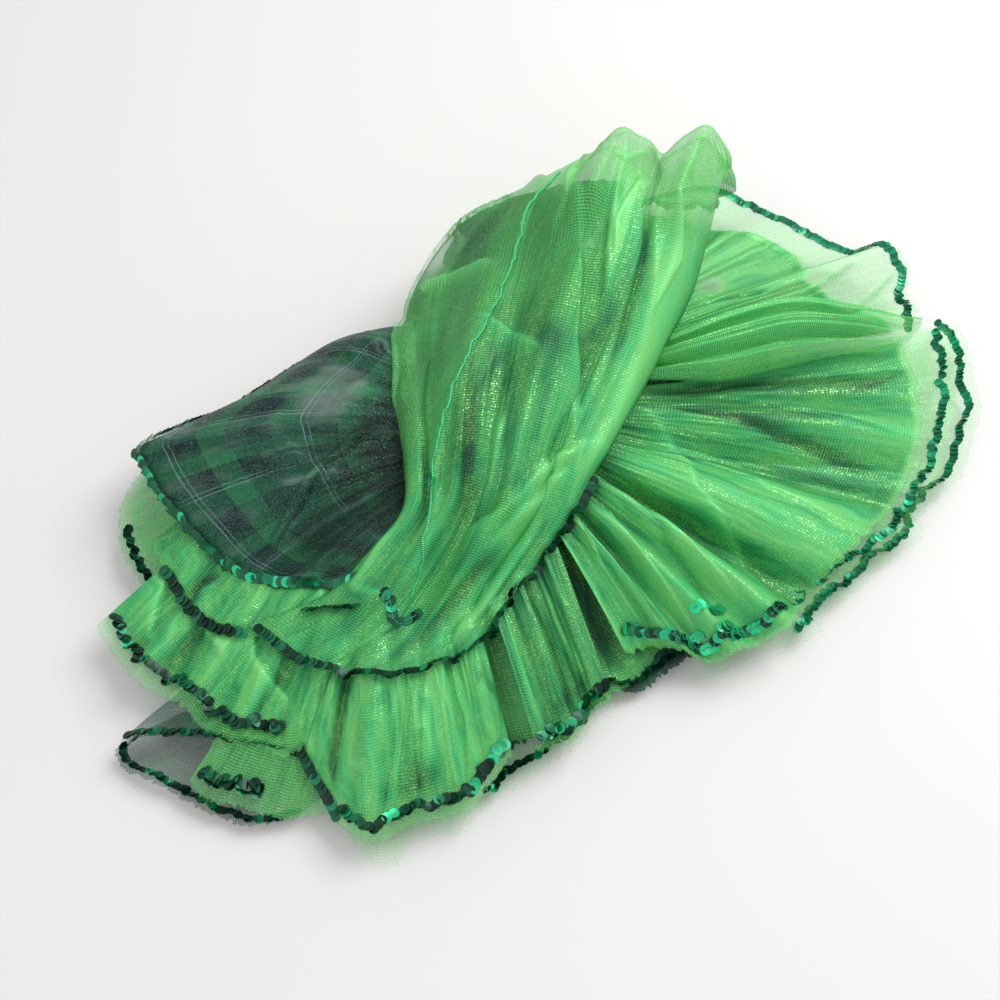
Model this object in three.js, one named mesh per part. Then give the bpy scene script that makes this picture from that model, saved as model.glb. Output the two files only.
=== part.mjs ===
// A tutu skirt dropped in a soft heap on a flat surface.
//
// The waist and the hidden layers are one rounded solid with a flat underside. Every stretch of cloth
// that shows is a thin wall of its own, laid on what is under it: flounces of green organza and of dark
// tartan organza that fan out from their gathers, and the wide wrap thrown over the top of the heap.
//
// Units are millimetres, +Z is up. The origin is the middle of the heap's footprint, at the floor.

import * as THREE from "three";

// ---- driving dimensions ------------------------------------------------------------------------

const WALL = 1.6; // thickness of a cloth wall, square to the cloth
const STEEPEST = 2.2; // a wall on a slope is at most this many times WALL thick, measured upright
const AIR = 0.45; // clearance between one wall and the next
const CELL = 1; // side of a square of the height map
const HALF_WIDTH = 250; // the height map reaches this far from the origin along X
const HALF_DEPTH = 220; // and this far along Y
const FACES_PER_SECTION = 2; // rows of faces between one section of a wrap and the next
const SETTLE_PASSES = 12;
const LEAST_CORE = 1.2; // least thickness of the rounded solid, at its rim

const GREEN = { color: 0x2fa860, roughness: 0.55, metalness: 0.25 };
const TARTAN = { color: 0x24453f, roughness: 0.7, metalness: 0.05 };
const HIDDEN = { color: 0x1d7a45, roughness: 0.75, metalness: 0.05 };

// ---- the flounces ------------------------------------------------------------------------------
//
// A flounce is gathered along a line, from its first point to its second. Each row is one fold that
// leaves the gather at its bearing (degrees, anticlockwise from +X, seen from above) and runs out over
// its reach to the hem. crown is the cloth's height half way along, hem its height at the edge.
// start is the share of the reach at which the solid cloth begins, rows the rows of faces from there to
// the hem, and faces the columns of faces between one fold and the next.

const flounces = [
  {
    name: "right_flounce_lower",
    look: GREEN,
    gather: { from: [20, 48, 34], to: [-4, -8, 34] },
    start: 0.4,
    rows: 4,
    faces: 1,
    folds: [
      { bearing: 17, reach: 207, crown: 15, hem: 8 },
      { bearing: 13, reach: 211, crown: 14, hem: 6 },
      { bearing: 8, reach: 207, crown: 16, hem: 9 },
      { bearing: 4, reach: 208, crown: 14, hem: 6 },
      { bearing: -1, reach: 201, crown: 16, hem: 10 },
      { bearing: -6, reach: 195, crown: 14, hem: 6 },
      { bearing: -10, reach: 185, crown: 16, hem: 10 },
      { bearing: -13, reach: 176, crown: 14, hem: 6 },
      { bearing: -17, reach: 177, crown: 16, hem: 10 },
      { bearing: -19, reach: 170, crown: 15, hem: 6 },
      { bearing: -22, reach: 163, crown: 16, hem: 10 },
      { bearing: -25, reach: 158, crown: 15, hem: 6 },
      { bearing: -29, reach: 152, crown: 16, hem: 10 },
      { bearing: -32, reach: 146, crown: 15, hem: 6 },
      { bearing: -36, reach: 147, crown: 16, hem: 10 },
      { bearing: -39, reach: 140, crown: 15, hem: 6 },
      { bearing: -43, reach: 131, crown: 16, hem: 9 },
      { bearing: -48, reach: 124, crown: 15, hem: 6 },
      { bearing: -53, reach: 120, crown: 16, hem: 8 },
    ],
  },
  {
    name: "front_flounce_under",
    look: GREEN,
    gather: { from: [-112, -84, 14], to: [16, -24, 22] },
    start: 0.3,
    rows: 4,
    faces: 1,
    folds: [
      { bearing: -85, reach: 97, crown: 9, hem: 5 },
      { bearing: -85, reach: 113, crown: 9, hem: 4 },
      { bearing: -84, reach: 118, crown: 8, hem: 3 },
      { bearing: -85, reach: 112, crown: 10, hem: 6 },
      { bearing: -85, reach: 113, crown: 9, hem: 4 },
      { bearing: -86, reach: 119, crown: 9, hem: 3 },
      { bearing: -86, reach: 115, crown: 10, hem: 6 },
      { bearing: -85, reach: 110, crown: 9, hem: 4 },
      { bearing: -83, reach: 106, crown: 10, hem: 6 },
      { bearing: -81, reach: 102, crown: 9, hem: 4 },
      { bearing: -80, reach: 99, crown: 10, hem: 6 },
      { bearing: -79, reach: 90, crown: 9, hem: 4 },
      { bearing: -77, reach: 87, crown: 10, hem: 6 },
      { bearing: -75, reach: 84, crown: 9, hem: 4 },
    ],
  },
  {
    name: "front_tartan",
    look: TARTAN,
    gather: { from: [-60, -62, 24], to: [22, -24, 30] },
    start: 0.15,
    rows: 4,
    faces: 1,
    folds: [
      { bearing: -71, reach: 84, crown: 14, hem: 9 },
      { bearing: -70, reach: 84, crown: 13, hem: 8 },
      { bearing: -69, reach: 88, crown: 15, hem: 9 },
      { bearing: -66, reach: 80, crown: 14, hem: 8 },
      { bearing: -65, reach: 79, crown: 16, hem: 9 },
      { bearing: -65, reach: 83, crown: 14, hem: 6 },
      { bearing: -64, reach: 80, crown: 16, hem: 8 },
      { bearing: -61, reach: 77, crown: 14, hem: 6 },
    ],
  },
  {
    name: "corner_tartan_lower",
    look: TARTAN,
    gather: { from: [-150, -103, 8], to: [-88, -138, 8] },
    start: 0,
    rows: 3,
    faces: 1,
    folds: [
      { bearing: -151, reach: 66, crown: 8, hem: 9 },
      { bearing: -155, reach: 78, crown: 7, hem: 5 },
      { bearing: -153, reach: 82, crown: 6, hem: 4 },
      { bearing: -150, reach: 78, crown: 7, hem: 6 },
      { bearing: -147, reach: 75, crown: 6, hem: 4 },
      { bearing: -143, reach: 73, crown: 7, hem: 6 },
      { bearing: -139, reach: 69, crown: 6, hem: 4 },
      { bearing: -136, reach: 65, crown: 7, hem: 5 },
      { bearing: -136, reach: 56, crown: 6, hem: 4 },
      { bearing: -139, reach: 51, crown: 7, hem: 5 },
    ],
  },
  {
    name: "corner_tartan_upper",
    look: TARTAN,
    gather: { from: [-152, -88, 20], to: [-98, -112, 20] },
    start: 0,
    rows: 4,
    faces: 1,
    folds: [
      { bearing: -139, reach: 76, crown: 19, hem: 14 },
      { bearing: -142, reach: 72, crown: 19, hem: 15 },
      { bearing: -142, reach: 66, crown: 20, hem: 16 },
      { bearing: -141, reach: 60, crown: 20, hem: 17 },
      { bearing: -139, reach: 55, crown: 20, hem: 17 },
      { bearing: -135, reach: 49, crown: 20, hem: 17 },
      { bearing: -128, reach: 45, crown: 19, hem: 16 },
    ],
  },
  {
    name: "right_flounce_middle",
    look: GREEN,
    gather: { from: [18, 44, 42], to: [-4, -8, 42] },
    start: 0.35,
    rows: 4,
    faces: 2,
    folds: [
      { bearing: 16, reach: 201, crown: 22, hem: 14 },
      { bearing: 12, reach: 201, crown: 20, hem: 11 },
      { bearing: 8, reach: 197, crown: 24, hem: 15 },
      { bearing: 5, reach: 197, crown: 20, hem: 11 },
      { bearing: 1, reach: 191, crown: 24, hem: 15 },
      { bearing: -3, reach: 188, crown: 21, hem: 11 },
      { bearing: -7, reach: 180, crown: 24, hem: 15 },
      { bearing: -10, reach: 175, crown: 21, hem: 11 },
      { bearing: -13, reach: 170, crown: 24, hem: 15 },
      { bearing: -16, reach: 160, crown: 22, hem: 11 },
      { bearing: -20, reach: 149, crown: 25, hem: 15 },
      { bearing: -24, reach: 140, crown: 22, hem: 12 },
      { bearing: -29, reach: 135, crown: 24, hem: 14 },
    ],
  },
  {
    name: "right_flounce_upper",
    look: GREEN,
    gather: { from: [12, 34, 50], to: [-16, -32, 50] },
    start: 0.05,
    rows: 7,
    faces: 2,
    folds: [
      { bearing: 17, reach: 178, crown: 28, hem: 20 },
      { bearing: 13, reach: 182, crown: 24, hem: 14 },
      { bearing: 6, reach: 179, crown: 34, hem: 18 },
      { bearing: 1, reach: 176, crown: 42, hem: 24 },
      { bearing: -3, reach: 173, crown: 34, hem: 17 },
      { bearing: -7, reach: 168, crown: 25, hem: 11 },
      { bearing: -12, reach: 159, crown: 36, hem: 18 },
      { bearing: -19, reach: 148, crown: 45, hem: 24 },
      { bearing: -24, reach: 140, crown: 41, hem: 22 },
      { bearing: -28, reach: 134, crown: 26, hem: 12 },
      { bearing: -35, reach: 135, crown: 48, hem: 25 },
      { bearing: -39, reach: 127, crown: 38, hem: 18 },
      { bearing: -43, reach: 120, crown: 44, hem: 23 },
      { bearing: -46, reach: 112, crown: 33, hem: 15 },
      { bearing: -48, reach: 97, crown: 43, hem: 20 },
      { bearing: -51, reach: 83, crown: 37, hem: 16 },
      { bearing: -58, reach: 78, crown: 42, hem: 22 },
    ],
  },
  {
    name: "left_tier_side",
    look: GREEN,
    gather: { from: [-186, 16, 24], to: [-166, -30, 30] },
    start: 0,
    rows: 4,
    faces: 1,
    folds: [
      { bearing: -163, reach: 34, crown: 20, hem: 16 },
      { bearing: -162, reach: 48, crown: 17, hem: 12 },
      { bearing: -158, reach: 54, crown: 15, hem: 10 },
      { bearing: -154, reach: 55, crown: 16, hem: 12 },
      { bearing: -152, reach: 52, crown: 15, hem: 9 },
    ],
  },
  {
    name: "corner_flap",
    look: GREEN,
    gather: { from: [-150, -116, 22], to: [-100, -126, 22] },
    start: 0,
    rows: 3,
    faces: 1,
    folds: [
      { bearing: -123, reach: 49, crown: 18, hem: 11 },
      { bearing: -121, reach: 54, crown: 17, hem: 8 },
      { bearing: -118, reach: 54, crown: 18, hem: 11 },
      { bearing: -113, reach: 53, crown: 17, hem: 8 },
      { bearing: -107, reach: 53, crown: 17, hem: 9 },
      { bearing: -104, reach: 49, crown: 17, hem: 8 },
      { bearing: -103, reach: 46, crown: 18, hem: 9 },
    ],
  },
  {
    name: "front_flounce_middle",
    look: GREEN,
    gather: { from: [-44, -66, 45], to: [-14, -34, 51] },
    start: 0.05,
    rows: 6,
    faces: 2,
    folds: [
      { bearing: -71, reach: 84, crown: 40, hem: 18 },
      { bearing: -70, reach: 86, crown: 36, hem: 14 },
      { bearing: -69, reach: 91, crown: 40, hem: 17 },
      { bearing: -68, reach: 87, crown: 30, hem: 10 },
      { bearing: -68, reach: 88, crown: 37, hem: 16 },
      { bearing: -69, reach: 91, crown: 36, hem: 17 },
    ],
  },
  {
    name: "front_flounce_left",
    look: GREEN,
    gather: { from: [-112, -78, 38], to: [-52, -62, 42] },
    start: 0.05,
    rows: 7,
    faces: 2,
    folds: [
      { bearing: -103, reach: 68, crown: 33, hem: 20 },
      { bearing: -97, reach: 86, crown: 34, hem: 15 },
      { bearing: -93, reach: 103, crown: 30, hem: 9 },
      { bearing: -89, reach: 113, crown: 40, hem: 15 },
      { bearing: -85, reach: 108, crown: 31, hem: 8 },
      { bearing: -82, reach: 108, crown: 41, hem: 15 },
      { bearing: -79, reach: 107, crown: 33, hem: 9 },
      { bearing: -78, reach: 107, crown: 40, hem: 16 },
      { bearing: -77, reach: 100, crown: 33, hem: 10 },
      { bearing: -76, reach: 94, crown: 41, hem: 15 },
      { bearing: -74, reach: 86, crown: 36, hem: 13 },
    ],
  },
  {
    name: "left_tier_low",
    look: GREEN,
    gather: { from: [-165, -24, 30], to: [-96, -74, 36] },
    start: 0,
    rows: 6,
    faces: 2,
    folds: [
      { bearing: -137, reach: 86, crown: 26, hem: 19 },
      { bearing: -132, reach: 90, crown: 26, hem: 14 },
      { bearing: -128, reach: 93, crown: 30, hem: 19 },
      { bearing: -125, reach: 92, crown: 27, hem: 13 },
      { bearing: -121, reach: 91, crown: 31, hem: 19 },
      { bearing: -118, reach: 94, crown: 28, hem: 13 },
      { bearing: -115, reach: 92, crown: 33, hem: 19 },
      { bearing: -113, reach: 86, crown: 30, hem: 14 },
      { bearing: -111, reach: 85, crown: 33, hem: 18 },
      { bearing: -111, reach: 76, crown: 35, hem: 22 },
    ],
  },
  {
    name: "left_tier_upper",
    look: GREEN,
    gather: { from: [-150, 0, 34], to: [-84, -56, 42] },
    start: 0,
    rows: 5,
    faces: 2,
    folds: [
      { bearing: -144, reach: 69, crown: 33, hem: 24 },
      { bearing: -134, reach: 75, crown: 36, hem: 28 },
      { bearing: -130, reach: 80, crown: 33, hem: 24 },
      { bearing: -126, reach: 81, crown: 37, hem: 29 },
      { bearing: -123, reach: 77, crown: 34, hem: 25 },
      { bearing: -124, reach: 70, crown: 38, hem: 31 },
      { bearing: -124, reach: 65, crown: 37, hem: 29 },
      { bearing: -122, reach: 62, crown: 38, hem: 30 },
      { bearing: -119, reach: 59, crown: 37, hem: 28 },
    ],
  },
  {
    name: "back_flounce",
    look: GREEN,
    gather: { from: [21, 101, 50], to: [40, 50, 48] },
    start: 0.05,
    rows: 6,
    faces: 2,
    folds: [
      { bearing: 104, reach: 66, crown: 54, hem: 10 },
      { bearing: 88, reach: 82, crown: 50, hem: 8 },
      { bearing: 72, reach: 106, crown: 46, hem: 12 },
      { bearing: 59, reach: 126, crown: 40, hem: 20 },
      { bearing: 51, reach: 134, crown: 34, hem: 16 },
      { bearing: 42, reach: 136, crown: 42, hem: 21 },
      { bearing: 36, reach: 148, crown: 35, hem: 16 },
      { bearing: 31, reach: 160, crown: 33, hem: 13 },
      { bearing: 28, reach: 170, crown: 42, hem: 28 },
      { bearing: 25, reach: 175, crown: 36, hem: 20 },
      { bearing: 22, reach: 168, crown: 32, hem: 14 },
      { bearing: 19, reach: 165, crown: 36, hem: 20 },
      { bearing: 17, reach: 160, crown: 32, hem: 17 },
    ],
  },
  {
    name: "tartan_flare",
    look: TARTAN,
    gather: { from: [-80, -38, 52], to: [-68, 44, 54] },
    start: 0,
    rows: 7,
    faces: 2,
    folds: [
      { bearing: -123, reach: 42, crown: 50, hem: 44 },
      { bearing: -134, reach: 54, crown: 47, hem: 37 },
      { bearing: -140, reach: 67, crown: 50, hem: 38 },
      { bearing: -145, reach: 82, crown: 46, hem: 34 },
      { bearing: -148, reach: 93, crown: 52, hem: 37 },
      { bearing: -154, reach: 102, crown: 49, hem: 33 },
      { bearing: -160, reach: 112, crown: 56, hem: 36 },
      { bearing: -168, reach: 124, crown: 54, hem: 33 },
      { bearing: -173, reach: 134, crown: 58, hem: 35 },
      { bearing: -176, reach: 141, crown: 58, hem: 34 },
      { bearing: -178, reach: 145, crown: 58, hem: 34 },
      { bearing: -185, reach: 129, crown: 60, hem: 20 },
      { bearing: -193, reach: 112, crown: 61, hem: 7 },
      { bearing: -203, reach: 97, crown: 60, hem: 6 },
      { bearing: -215, reach: 84, crown: 61, hem: 6 },
      { bearing: -227, reach: 70, crown: 58, hem: 6 },
      { bearing: -242, reach: 55, crown: 56, hem: 6 },
    ],
  },
];

// ---- the wraps ---------------------------------------------------------------------------------
//
// A wrap is carried across a row of sections, from the foot behind the heap, over its crest, to the
// front. A section runs from its left point to its right one; rise lifts its middle into an arch and
// bow pushes its middle forward. Creases are raised (+) or sunk (-) by depth, along the wrap, at a share
// of its width, between two shares of its length.

const wraps = [
  {
    name: "right_flounce_roll",
    look: GREEN,
    columns: 8,
    fullness: 0.7,
    sections: [
      { left: [36, 58, 54], right: [30, 40, 50], rise: 4, bow: 0 },
      { left: [58, 66, 54], right: [54, 42, 46], rise: 10, bow: 0 },
      { left: [88, 84, 48], right: [82, 47, 38], rise: 15, bow: 0 },
      { left: [122, 98, 40], right: [112, 58, 32], rise: 17, bow: 0 },
      { left: [154, 100, 32], right: [146, 71, 26], rise: 12, bow: 0 },
      { left: [182, 100, 24], right: [178, 80, 20], rise: 6, bow: 0 },
      { left: [196, 101, 20], right: [194, 95, 18], rise: 2, bow: 0 },
    ],
    creases: [
      { at: 0.3, width: 0.09, depth: -8, from: 0, to: 0.75 },
      { at: 0.72, width: 0.08, depth: -6, from: 0, to: 0.85 },
    ],
  },
  {
    name: "tartan_bulge",
    look: TARTAN,
    columns: 10,
    fullness: 0.6,
    sections: [
      { left: [-52, 138, 6], right: [34, 162, 6], rise: 0, bow: 0 },
      { left: [-44, 132, 36], right: [31, 149, 56], rise: 10, bow: 0 },
      { left: [-46, 122, 46], right: [26, 135, 74], rise: 8, bow: 0 },
      { left: [-64, 102, 42], right: [14, 113, 76], rise: 10, bow: 0 },
      { left: [-77, 80, 38], right: [2, 90, 72], rise: 14, bow: 0 },
      { left: [-80, 46, 44], right: [-12, 58, 68], rise: 14, bow: 0 },
      { left: [-76, 10, 54], right: [-26, 24, 64], rise: 8, bow: 0 },
      { left: [-74, -14, 56], right: [-44, -6, 58], rise: 3, bow: 0 },
    ],
    creases: [{ at: 0.45, width: 0.12, depth: -7, from: 0.2, to: 0.85 }],
  },
  {
    name: "top_wrap",
    look: GREEN,
    columns: 22,
    fullness: 0.5,
    sections: [
      { left: [-66, 150, 4], right: [92, 176, 5], rise: 0, bow: -4 },
      { left: [-60, 146, 12], right: [88, 161, 50], rise: 46, bow: -3 },
      { left: [-60, 141, 16], right: [84, 148, 86], rise: 48, bow: 0 },
      { left: [-70, 130, 16], right: [80, 136, 86], rise: 48, bow: 0 },
      { left: [-82, 112, 14], right: [73, 112, 72], rise: 56, bow: 0 },
      { left: [-86, 82, 20], right: [64, 84, 62], rise: 55, bow: 0 },
      { left: [-85, 50, 36], right: [46, 50, 56], rise: 45, bow: 0 },
      { left: [-84, 16, 52], right: [28, 18, 54], rise: 32, bow: 0 },
      { left: [-80, -14, 56], right: [13, -10, 52], rise: 24, bow: 0 },
      { left: [-80, -38, 54], right: [1, -37, 48], rise: 15, bow: 1 },
      { left: [-95, -58, 48], right: [-20, -68, 42], rise: 8, bow: 5 },
      { left: [-116, -76, 40], right: [-42, -98, 34], rise: 4, bow: 12 },
      { left: [-152, -88, 32], right: [-48, -105, 30], rise: 0, bow: 20 },
    ],
    creases: [
      { at: 0.6, width: 0.06, depth: 13, from: 0.06, to: 0.4 },
      { at: 0.76, width: 0.045, depth: -12, from: 0.06, to: 0.32 },
      { at: 0.9, width: 0.05, depth: 9, from: 0.06, to: 0.4 },
      { at: 0.3, width: 0.05, depth: 6, from: 0.25, to: 0.98 },
      { at: 0.45, width: 0.05, depth: -8, from: 0.3, to: 0.95 },
      { at: 0.6, width: 0.05, depth: 7, from: 0.35, to: 0.98 },
      { at: 0.78, width: 0.045, depth: -7, from: 0.45, to: 0.98 },
      { at: 0.14, width: 0.05, depth: -4, from: 0.3, to: 0.9 },
    ],
  },
];

// The order in which the stretches are laid down, lowest first.
const ORDER = [
  "right_flounce_lower",
  "front_flounce_under",
  "corner_tartan_lower",
  "front_tartan",
  "corner_tartan_upper",
  "right_flounce_middle",
  "corner_flap",
  "left_tier_side",
  "front_flounce_left",
  "front_flounce_middle",
  "right_flounce_upper",
  "left_tier_low",
  "left_tier_upper",
  "back_flounce",
  "right_flounce_roll",
  "tartan_flare",
  "tartan_bulge",
  "top_wrap",
];

// The rounded solid of the waist and the hidden layers: how far it reaches from its middle at each
// bearing. Its height follows the undersides of the cloth on it.
const core = {
  name: "hidden_gathers",
  middle: [-18, 6],
  rings: 9,
  spokes: 48,
  height: 92,
  reaches: [
    { bearing: 0, reach: 158 },
    { bearing: 30, reach: 150 },
    { bearing: 60, reach: 128 },
    { bearing: 90, reach: 132 },
    { bearing: 120, reach: 112 },
    { bearing: 150, reach: 118 },
    { bearing: 180, reach: 142 },
    { bearing: 210, reach: 150 },
    { bearing: 240, reach: 150 },
    { bearing: 270, reach: 132 },
    { bearing: 300, reach: 112 },
    { bearing: 330, reach: 128 },
  ],
};

// ---- smooth tables -----------------------------------------------------------------------------

/** A value read from equally spaced rows at the share t, on a curve that passes through every row. */
function readSmooth(values, t) {
  const spans = values.length - 1;
  const span = Math.min(Math.floor(t * spans), spans - 1);
  const f = t * spans - span;
  const [b, c] = [values[span], values[span + 1]];
  const a = span > 0 ? values[span - 1] : 2 * b - c;
  const d = span + 2 <= spans ? values[span + 2] : 2 * c - b;
  return 0.5 * (2 * b + f * (c - a + f * (2 * a - 5 * b + 4 * c - d + f * (3 * b - a - 3 * c + d))));
}

const column = (rows, key) => rows.map((row) => row[key]);
const part = (rows, key, axis) => rows.map((row) => row[key][axis]);
const mix = (a, b, t) => a + (b - a) * t;
const radians = (degrees) => (degrees * Math.PI) / 180;

/** 1 inside the span from a to b, with soft ends as long as a fifth of it. */
function softSpan(t, a, b) {
  const end = 0.2 * (b - a);
  const rising = THREE.MathUtils.smoothstep(t, a, a + end);
  const falling = b >= 1 ? 1 : 1 - THREE.MathUtils.smoothstep(t, b - end, b);
  return (a <= 0 ? 1 : rising) * falling;
}

// ---- cloth surfaces ----------------------------------------------------------------------------

/** The flounce's points: columns of points from the gather to the hem, one column after another. */
function flouncePoints(flounce) {
  const { folds, gather, start, rows, faces } = flounce;
  const across = (folds.length - 1) * faces;
  const table = {};
  for (const key of Object.keys(folds[0])) table[key] = column(folds, key);
  const points = [];
  for (let i = 0; i <= across; i++) {
    const u = i / across;
    const bearing = radians(readSmooth(table.bearing, u));
    const reach = readSmooth(table.reach, u);
    const [crown, hem] = [readSmooth(table.crown, u), readSmooth(table.hem, u)];
    const root = gather.from.map((value, axis) => mix(value, gather.to[axis], u));
    const middle = 2 * crown - 0.5 * (root[2] + hem);
    const line = [];
    for (let j = 0; j <= rows; j++) {
      const v = mix(start, 1, j / rows);
      const height = (1 - v) ** 2 * root[2] + 2 * v * (1 - v) * middle + v ** 2 * hem;
      const out = reach * v;
      line.push([root[0] + out * Math.cos(bearing), root[1] + out * Math.sin(bearing), height]);
    }
    points.push(line);
  }
  return points;
}

/** The wrap's points: columns of points along it, from its left side to its right. */
function wrapPoints(wrap) {
  const { sections, columns: across, fullness, creases } = wrap;
  const along = (sections.length - 1) * FACES_PER_SECTION;
  const [rise, bow] = [column(sections, "rise"), column(sections, "bow")];
  const ends = ["left", "right"].map((side) => [0, 1, 2].map((axis) => part(sections, side, axis)));
  const points = [];
  for (let i = 0; i <= across; i++) {
    const u = i / across;
    const arch = (4 * u * (1 - u)) ** fullness;
    const line = [];
    for (let j = 0; j <= along; j++) {
      const v = j / along;
      const [x, y, z] = [0, 1, 2].map((axis) =>
        mix(readSmooth(ends[0][axis], v), readSmooth(ends[1][axis], v), u),
      );
      let height = z + arch * readSmooth(rise, v);
      for (const crease of creases) {
        const away = (u - crease.at) / crease.width;
        height += crease.depth * Math.exp(-away * away) * softSpan(v, crease.from, crease.to);
      }
      line.push([x, y - readSmooth(bow, v) * 4 * u * (1 - u), height]);
    }
    points.push(line);
  }
  return points;
}

// ---- laying one stretch on another -------------------------------------------------------------

const WIDE = Math.round((2 * HALF_WIDTH) / CELL);
const DEEP = Math.round((2 * HALF_DEPTH) / CELL);

/** A height map that starts at one value everywhere. */
const heightMap = (value) => new Float32Array(WIDE * DEEP).fill(value);

const CORNERS_AND_MIDDLES = [
  [1, 0, 0],
  [0, 1, 0],
  [0, 0, 1],
  [0.5, 0.5, 0],
  [0, 0.5, 0.5],
  [0.5, 0, 0.5],
];

/**
 * Calls visit(cell, weights) for each square of the map whose middle lies in the plan of triangle abc,
 * and for the squares that hold its corners and the middles of its sides.
 */
function eachCell(a, b, c, visit) {
  for (const w of CORNERS_AND_MIDDLES) {
    const [x, y] = [0, 1].map((axis) => w[0] * a[axis] + w[1] * b[axis] + w[2] * c[axis]);
    const [k, row] = [Math.floor((x + HALF_WIDTH) / CELL), Math.floor((y + HALF_DEPTH) / CELL)];
    visit(row * WIDE + k, w);
  }
  const low = [Math.min(a[0], b[0], c[0]), Math.min(a[1], b[1], c[1])];
  const high = [Math.max(a[0], b[0], c[0]), Math.max(a[1], b[1], c[1])];
  const area = (b[0] - a[0]) * (c[1] - a[1]) - (c[0] - a[0]) * (b[1] - a[1]);
  if (Math.abs(area) < 1e-9) return;
  const firstRow = Math.max(0, Math.floor((low[1] + HALF_DEPTH) / CELL) - 1);
  const lastRow = Math.min(DEEP - 1, Math.ceil((high[1] + HALF_DEPTH) / CELL) + 1);
  const first = Math.max(0, Math.floor((low[0] + HALF_WIDTH) / CELL) - 1);
  const last = Math.min(WIDE - 1, Math.ceil((high[0] + HALF_WIDTH) / CELL) + 1);
  for (let row = firstRow; row <= lastRow; row++) {
    const y = (row + 0.5) * CELL - HALF_DEPTH;
    for (let k = first; k <= last; k++) {
      const x = (k + 0.5) * CELL - HALF_WIDTH;
      const wb = ((x - a[0]) * (c[1] - a[1]) - (c[0] - a[0]) * (y - a[1])) / area;
      const wc = ((b[0] - a[0]) * (y - a[1]) - (x - a[0]) * (b[1] - a[1])) / area;
      const wa = 1 - wb - wc;
      if (Math.min(wa, wb, wc) >= -1e-6) visit(row * WIDE + k, [wa, wb, wc]);
    }
  }
}

/** The corners of each triangle of a grid of points, as pairs [column, row]. */
function gridTriangles(columns, rows) {
  const triangles = [];
  for (let i = 0; i < columns; i++) {
    for (let j = 0; j < rows; j++) {
      const [a, b, c, d] = [[i, j], [i + 1, j], [i + 1, j + 1], [i, j + 1]];
      triangles.push([a, b, c], [a, c, d]);
    }
  }
  return triangles;
}

/** The map with each square raised (or sunk) to the highest (or lowest) of its neighbours. */
function spread(map, pick) {
  const wider = map.slice();
  for (let row = 1; row < DEEP - 1; row++) {
    for (let k = 1; k < WIDE - 1; k++) {
      const here = row * WIDE + k;
      for (const step of [-WIDE - 1, -WIDE, -WIDE + 1, -1, 1, WIDE - 1, WIDE, WIDE + 1])
        wider[here] = pick(wider[here], map[here + step]);
    }
  }
  return wider;
}

/** The wall's upright thickness at each point of the grid, more where the cloth is steep. */
function wallHeights(points) {
  const [last, end] = [points.length - 1, points[0].length - 1];
  return points.map((line, i) =>
    line.map((_, j) => {
      const [w, e] = [points[Math.max(i - 1, 0)][j], points[Math.min(i + 1, last)][j]];
      const [s, n] = [points[i][Math.max(j - 1, 0)], points[i][Math.min(j + 1, end)]];
      const one = new THREE.Vector3(e[0] - w[0], e[1] - w[1], e[2] - w[2]);
      const two = new THREE.Vector3(n[0] - s[0], n[1] - s[1], n[2] - s[2]);
      const upright = Math.abs(one.cross(two).normalize().z);
      return WALL * Math.min(STEEPEST, 1 / Math.max(upright, 0.01));
    }),
  );
}

/** Lifts the cloth off what lies under it, then adds it to the map of what lies there. */
function layDown(points, under) {
  const support = spread(under, Math.max);
  const triangles = gridTriangles(points.length - 1, points[0].length - 1);
  let walls = wallHeights(points);
  for (let pass = 0; pass < SETTLE_PASSES; pass++) {
    const lift = points.map((line) => line.map(() => 0));
    let most = 0;
    for (const corners of triangles) {
      const at = corners.map(([i, j]) => points[i][j]);
      const bottom = corners.map(([i, j]) => points[i][j][2] - walls[i][j]);
      let short = 0;
      eachCell(...at, (cell, w) => {
        const height = w[0] * bottom[0] + w[1] * bottom[1] + w[2] * bottom[2];
        short = Math.max(short, support[cell] + AIR - height);
      });
      for (const [i, j] of corners) lift[i][j] = Math.max(lift[i][j], short);
      most = Math.max(most, short);
    }
    if (most < 0.02) break;
    points.forEach((line, i) => line.forEach((point, j) => (point[2] += lift[i][j])));
    if (pass < 3) walls = wallHeights(points);
  }
  for (const corners of triangles) {
    const at = corners.map(([i, j]) => points[i][j]);
    eachCell(...at, (cell, w) => {
      const height = w[0] * at[0][2] + w[1] * at[1][2] + w[2] * at[2][2];
      under[cell] = Math.max(under[cell], height);
    });
  }
  return walls;
}

// ---- solids ------------------------------------------------------------------------------------

/** A closed body from a top grid and a bottom grid of the same size. wrapped joins its first and last columns. */
function closedSheet(top, bottom) {
  const [columns, rows] = [top.length, top[0].length];
  const positions = [...top.flat(), ...bottom.flat()].flat();
  const index = [];
  const under = columns * rows;
  const id = (i, j) => i * rows + j;
  const sign = upwards(top) ? 1 : -1;
  const face = (a, b, c) => index.push(...(sign > 0 ? [a, b, c] : [a, c, b]));
  for (const corners of gridTriangles(columns - 1, rows - 1)) {
    const [a, b, c] = corners.map(([i, j]) => id(i, j));
    face(a, b, c);
    face(under + a, under + c, under + b);
  }
  const rim = [];
  for (let i = 0; i < columns - 1; i++) rim.push(id(i, 0));
  for (let j = 0; j < rows - 1; j++) rim.push(id(columns - 1, j));
  for (let i = columns - 1; i > 0; i--) rim.push(id(i, rows - 1));
  for (let j = rows - 1; j > 0; j--) rim.push(id(0, j));
  rim.forEach((a, k) => {
    const b = rim[(k + 1) % rim.length];
    face(under + a, under + b, b);
    face(under + a, b, a);
  });
  const geometry = new THREE.BufferGeometry();
  geometry.setAttribute("position", new THREE.Float32BufferAttribute(positions, 3));
  geometry.setIndex(index);
  return geometry;
}

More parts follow.
